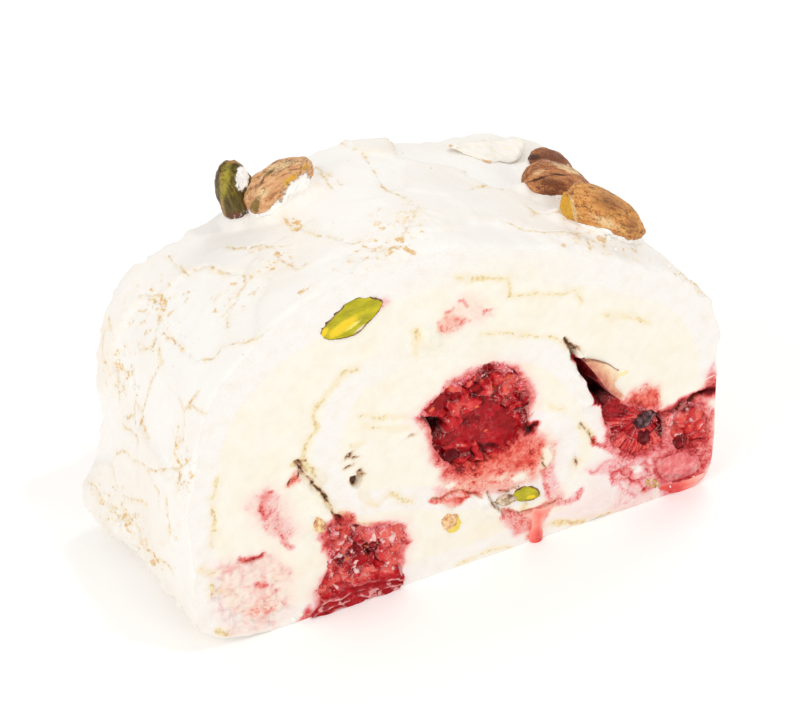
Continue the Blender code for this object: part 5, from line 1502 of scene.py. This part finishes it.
shade = flap_finish.blend(crown * 0.85, shade, colour(132, 74, 52))
shade = flap_finish.blend(flap_finish.mask("yolk").above(0.3, 0.8) * 0.8, shade, colour(246, 228, 150))
flap_finish.drive(Base_Color=shade)
flap_finish.bump(drift * 0.3)
outline = rounded(FLAP, 0.3)
flat_cut, triangles, around = fill(outline, 0.22)
within = inside(flat_cut, outline)
from_gap = from_line(flat_cut, ((22.8, 33.0), (23.8, 31.6), (25.2, 29.6), (27.0, 26.7), (29.0, 24.3)))
lift = 0.15 + 0.55 * smooth(3.4, 0.4, from_gap)
lift += 0.12 * lumps(flat_cut, 1.5, 401, 2)


def slab(front_points, rear_points):
    """Faces of a thin piece: its front, its rear and the wall round its border."""
    front, rear = extra(front_points), extra(rear_points)
    return face_list(front[triangles], rear[triangles][:, ::-1], walls(front[around], rear[around]))


points = []
faces = slab(at_depth(flat_cut, FRONT - lift),
             at_depth(flat_cut, FRONT - lift + 0.35 + 0.9 * smooth(0.5, 0.0, within)))
yolk = blob(flat_cut, 30.8, 28.2, 1.2, 0.6)
crown = from_line(flat_cut, ((22.8, 33.5), (24.6, 33.0), (27.4, 31.3), (29.6, 29.3)))
masks = {"yolk": np.tile(yolk, 2), "crown": np.tile(crown, 2), "from_gap": np.tile(from_gap / 4.0, 2)}
make_piece("torn_skin", np.concatenate(points), faces, masks, flap_finish, (), 50)

BITS = {  # chopped nut in the cream: middle on the cut, half sizes, lean, how yellow
    "nut_bit_middle": (-1.8, 9.6, 1.7, 2.5, 28, 0.9), "nut_bit_left": (-26, 17.8, 1.3, 2, 8, 0.1),
    "nut_bit_low": (8.7, 10.4, 2.3, 1.2, -10, 0)}
bit_finish = Finish("chopped_nut", Roughness=0.4, IOR=1.45)
drift, fine = bit_finish.grain(0.9, 3.0, 0.6), bit_finish.grain(0.35, 2.0)
bit_shade = bit_finish.ramp(
    drift, (0.33, colour(176, 118, 74)), (0.48, colour(226, 170, 116)), (0.64, colour(248, 222, 172)))
yellowed = (bit_finish.mask("yolk") + (drift - 0.5) * 0.9).above(0.45, 0.6)
bit_shade = bit_finish.blend(yellowed, bit_shade, colour(244, 216, 72))
bit_shade = bit_finish.blend(bit_finish.mask("grey").above(0.3, 0.7), bit_shade, bit_finish.ramp(
    drift, (0.35, colour(124, 92, 68)), (0.48, colour(190, 160, 128)), (0.64, colour(240, 226, 202))))
bit_finish.drive(Base_Color=bit_shade)
bit_finish.bump(drift * 0.3 + fine * 0.05)
aim, triangles = ball(5)
for name, (x, z, across, up, lean, yellow) in BITS.items():
    chipped = 1 + 0.22 * lumps(aim, 0.9, 410 + len(name), 2) - 0.12 * np.abs(lumps(aim, 0.45, 417, 2))
    own = aim * np.array((across, 1.1, up)) * chipped[:, None]
    tilt = math.radians(lean)
    points = np.stack([x + own[:, 0] * math.cos(tilt) - own[:, 2] * math.sin(tilt), FRONT + 0.45 + own[:, 1],
                       z + own[:, 2] * math.cos(tilt) + own[:, 0] * math.sin(tilt)], 1)
    masks = {"yolk": np.full(len(points), yellow) * smooth(0.4, -0.5, aim[:, 2] - 0.3 * aim[:, 0]),
             "grey": np.full(len(points), float(name == "nut_bit_low"))}
    make_piece(name, points, face_list(triangles), masks, bit_finish, (), 40)


def on_crust(along, y, out=0.0):
    """Points on the crust at distances along it and from front to back, raised by out."""
    along, y = np.atleast_1d(along).astype(float), np.atleast_1d(y).astype(float)
    column = np.interp(along, run[crust_start:], np.arange(crust_columns))
    row = (y - FRONT) / SLICE_DEPTH * CRUST_ROWS
    i = np.clip(column.astype(int), 0, crust_columns - 2)
    j = np.clip(row.astype(int), 0, CRUST_ROWS - 1)
    a, b = (column - i)[:, None], (row - j)[:, None]
    section = (crust_at[i, j] * (1 - a) * (1 - b) + crust_at[i + 1, j] * a * (1 - b)
               + crust_at[i, j + 1] * (1 - a) * b + crust_at[i + 1, j + 1] * a * b)
    return at_depth(section - inward[crust_start + i] * np.reshape(out, (-1, 1)), y)


# The plate of crust that lifted: thin, curled up at its ends, browned at the broken edge.
outline = rounded(FLAKE, 0.3)
flat_plate, triangles, around = fill(outline, 0.3)
within = inside(flat_plate, outline)
curl = 0.35 + 0.9 * smooth(3.0, 8.0, np.abs(flat_plate[:, 0] - 197.5)) + 0.15 * lumps(flat_plate, 1.8, 421, 2)
points = []
faces = slab(on_crust(*flat_plate.T, curl + 0.35 * smooth(0.0, 0.5, within)),
             on_crust(*flat_plate.T, curl - 0.25 - 0.4 * smooth(0.0, 1.5, within)))
flake_finish = Finish("crust_flake", Roughness=0.7, IOR=1.45)
edge, drift = flake_finish.mask("edge"), flake_finish.grain(1.2, 3.0, 0.6)
broken = (edge + (drift - 0.5) * 1.2).below(0.05, 0.3) * flake_finish.grain(3.0, 1.0).above(0.46, 0.52)
shade = flake_finish.ramp(drift, (0.35, colour(252, 243, 226, LIT)), (0.6, colour(254, 250, 242, LIT)))
flake_finish.drive(Base_Color=flake_finish.blend(broken * 0.9, shade, colour(222, 170, 108)))
flake_finish.bump(drift * 0.25)
edge = within + 2.0 * smooth(197.0, 200.0, flat_plate[:, 0])
make_piece("crust_flake", np.concatenate(points), faces, {"edge": np.tile(edge, 2)}, flake_finish, (),
           50)

# Crumbs: chips of crust on the top and round the foot of the wall, white chips and cooked sugar
# grains in the cut.
draw = np.random.default_rng(7)
CHIPS = (  # on the cut: across, up, size, how brown
    (-20.4, 11.4, 0.8, 0), (46.2, 10.4, 1, 0), (-20.1, 10.7, 0.8, 0), (42.3, 16.2, 0.45, 0),
    (41.2, 1.6, 0.35, 0), (-18, 11.9, 0.4, 0.1), (-31.2, 0.9, 0.5, 0), (-29.8, 1.4, 0.35, 0.2),
    (15.2, 9, 0.35, 0.4), (-3.2, 23.6, 0.3, 0.1), (36.2, 4.6, 0.5, 0.7), (36.9, 4.9, 0.45, 0.5),
    (37.6, 4.4, 0.5, 0.8), (38.2, 3.8, 0.45, 0.55), (36.6, 3.9, 0.4, 0.6), (37.4, 3.5, 0.5, 0.7),
    (38.6, 3.1, 0.4, 0.5), (39, 2.6, 0.4, 0.7), (38, 2.9, 0.35, 0.9))
SPRINKLED = (
    (128, 6, 7, 7, 14), (147, -3, 5, 7, 8), (166, -9, 4, 5, 10), (112, 10, 7, 6, 8), (87, 4, 3, 16, 14),
    (200, -17.5, 12, 3, 6), (222, -18, 8, 3, 6), (184, 8, 16, 12, 5))
seats = [((x, FRONT + front_relief(np.array([[x, z]]))[0], z), size, brown) for x, z, size, brown in CHIPS]
for along_it, y_it, across, deep, count in SPRINKLED:
    for _ in range(count):
        far = min(along_it + draw.normal(0, across / 2), run[-1] - 2)
        y = np.clip(y_it + draw.normal(0, deep / 2), FRONT + 0.5, BACK - 0.5)
        size = np.clip(draw.lognormal(-1.2, 0.45), 0.16, 0.55)
        seats.append((on_crust(far, y, size * 0.1)[0], size, draw.choice((0.0, 0.05, 0.25, 0.5))))
aim, triangles = ball(3)
points, faces, brown_at = [], [], []
for chip, (seat, size, brown) in enumerate(seats):
    near = cells(aim + 3.1 * chip, 0.9, 431)[0]
    own = aim * size * draw.uniform(0.6, 1.25, 3) * (1.25 - 0.6 * near / 0.9)[:, None]
    own = own @ np.array(Euler(draw.uniform(0, math.tau, 3)).to_matrix())
    faces += face_list(triangles + len(points) * len(aim))
    points.append(own + np.array(seat))
    brown_at.append(np.full(len(aim), brown))
crumb_finish = Finish("crumbs", Roughness=0.75, IOR=1.45)
drift = crumb_finish.grain(0.6, 2.0)
crumb_finish.drive(Base_Color=crumb_finish.ramp(
    crumb_finish.mask("brown") + (drift - 0.5) * 0.4, (0.05, colour(254, 250, 244, LIT)),
    (0.35, colour(248, 228, 196, LIT)), (0.65, colour(226, 182, 128)), (0.95, colour(176, 120, 76))))
crumb_finish.bump(drift * 0.15)
crumbs = np.concatenate(points)
crumbs[:, 2] = np.maximum(crumbs[:, 2], 0.02)
make_piece("crumbs", crumbs, faces, {"brown": np.concatenate(brown_at)}, crumb_finish, (), 50)

# ---- setting ---------------------------------------------------------------------------------
bpy.ops.mesh.primitive_plane_add(size=6)
floor = bpy.context.object
floor.name = "floor"
floor_finish = Finish("floor", Roughness=0.6, Base_Color=(0.94, 0.925, 0.905, 1), Emission_Color=(1, 1, 1, 1),
                      Emission_Strength=0.12)
floor.data.materials.append(floor_finish.material)
world = bpy.data.worlds.new("studio")
bpy.context.scene.world = world
world.use_nodes = True
light_all_round = world.node_tree.nodes["Background"]
light_all_round.inputs["Color"].default_value = (1, 1, 1, 1)
light_all_round.inputs["Strength"].default_value = 0.70

LAMPS = (  # where each soft light hangs in metres, its size and power
    ((0.42, 0.3, 0.55), 0.3, 0.8), ((-0.55, -0.15, 0.4), 0.4, 1.2), ((0.1, -0.6, 0.25), 0.25, 0.4),
    ((0.1, -0.2, 0.6), 0.03, 0.45))
for place, size, power in LAMPS:
    lamp_data = bpy.data.lights.new("softbox", "AREA")
    lamp_data.size = size
    lamp_data.energy = power
    lamp = bpy.data.objects.new("softbox", lamp_data)
    lamp.location = place
    lamp.rotation_euler = Vector(place).to_track_quat("Z", "Y").to_euler()
    bpy.context.scene.collection.objects.link(lamp)
bpy.context.scene.view_settings.view_transform = "Standard"
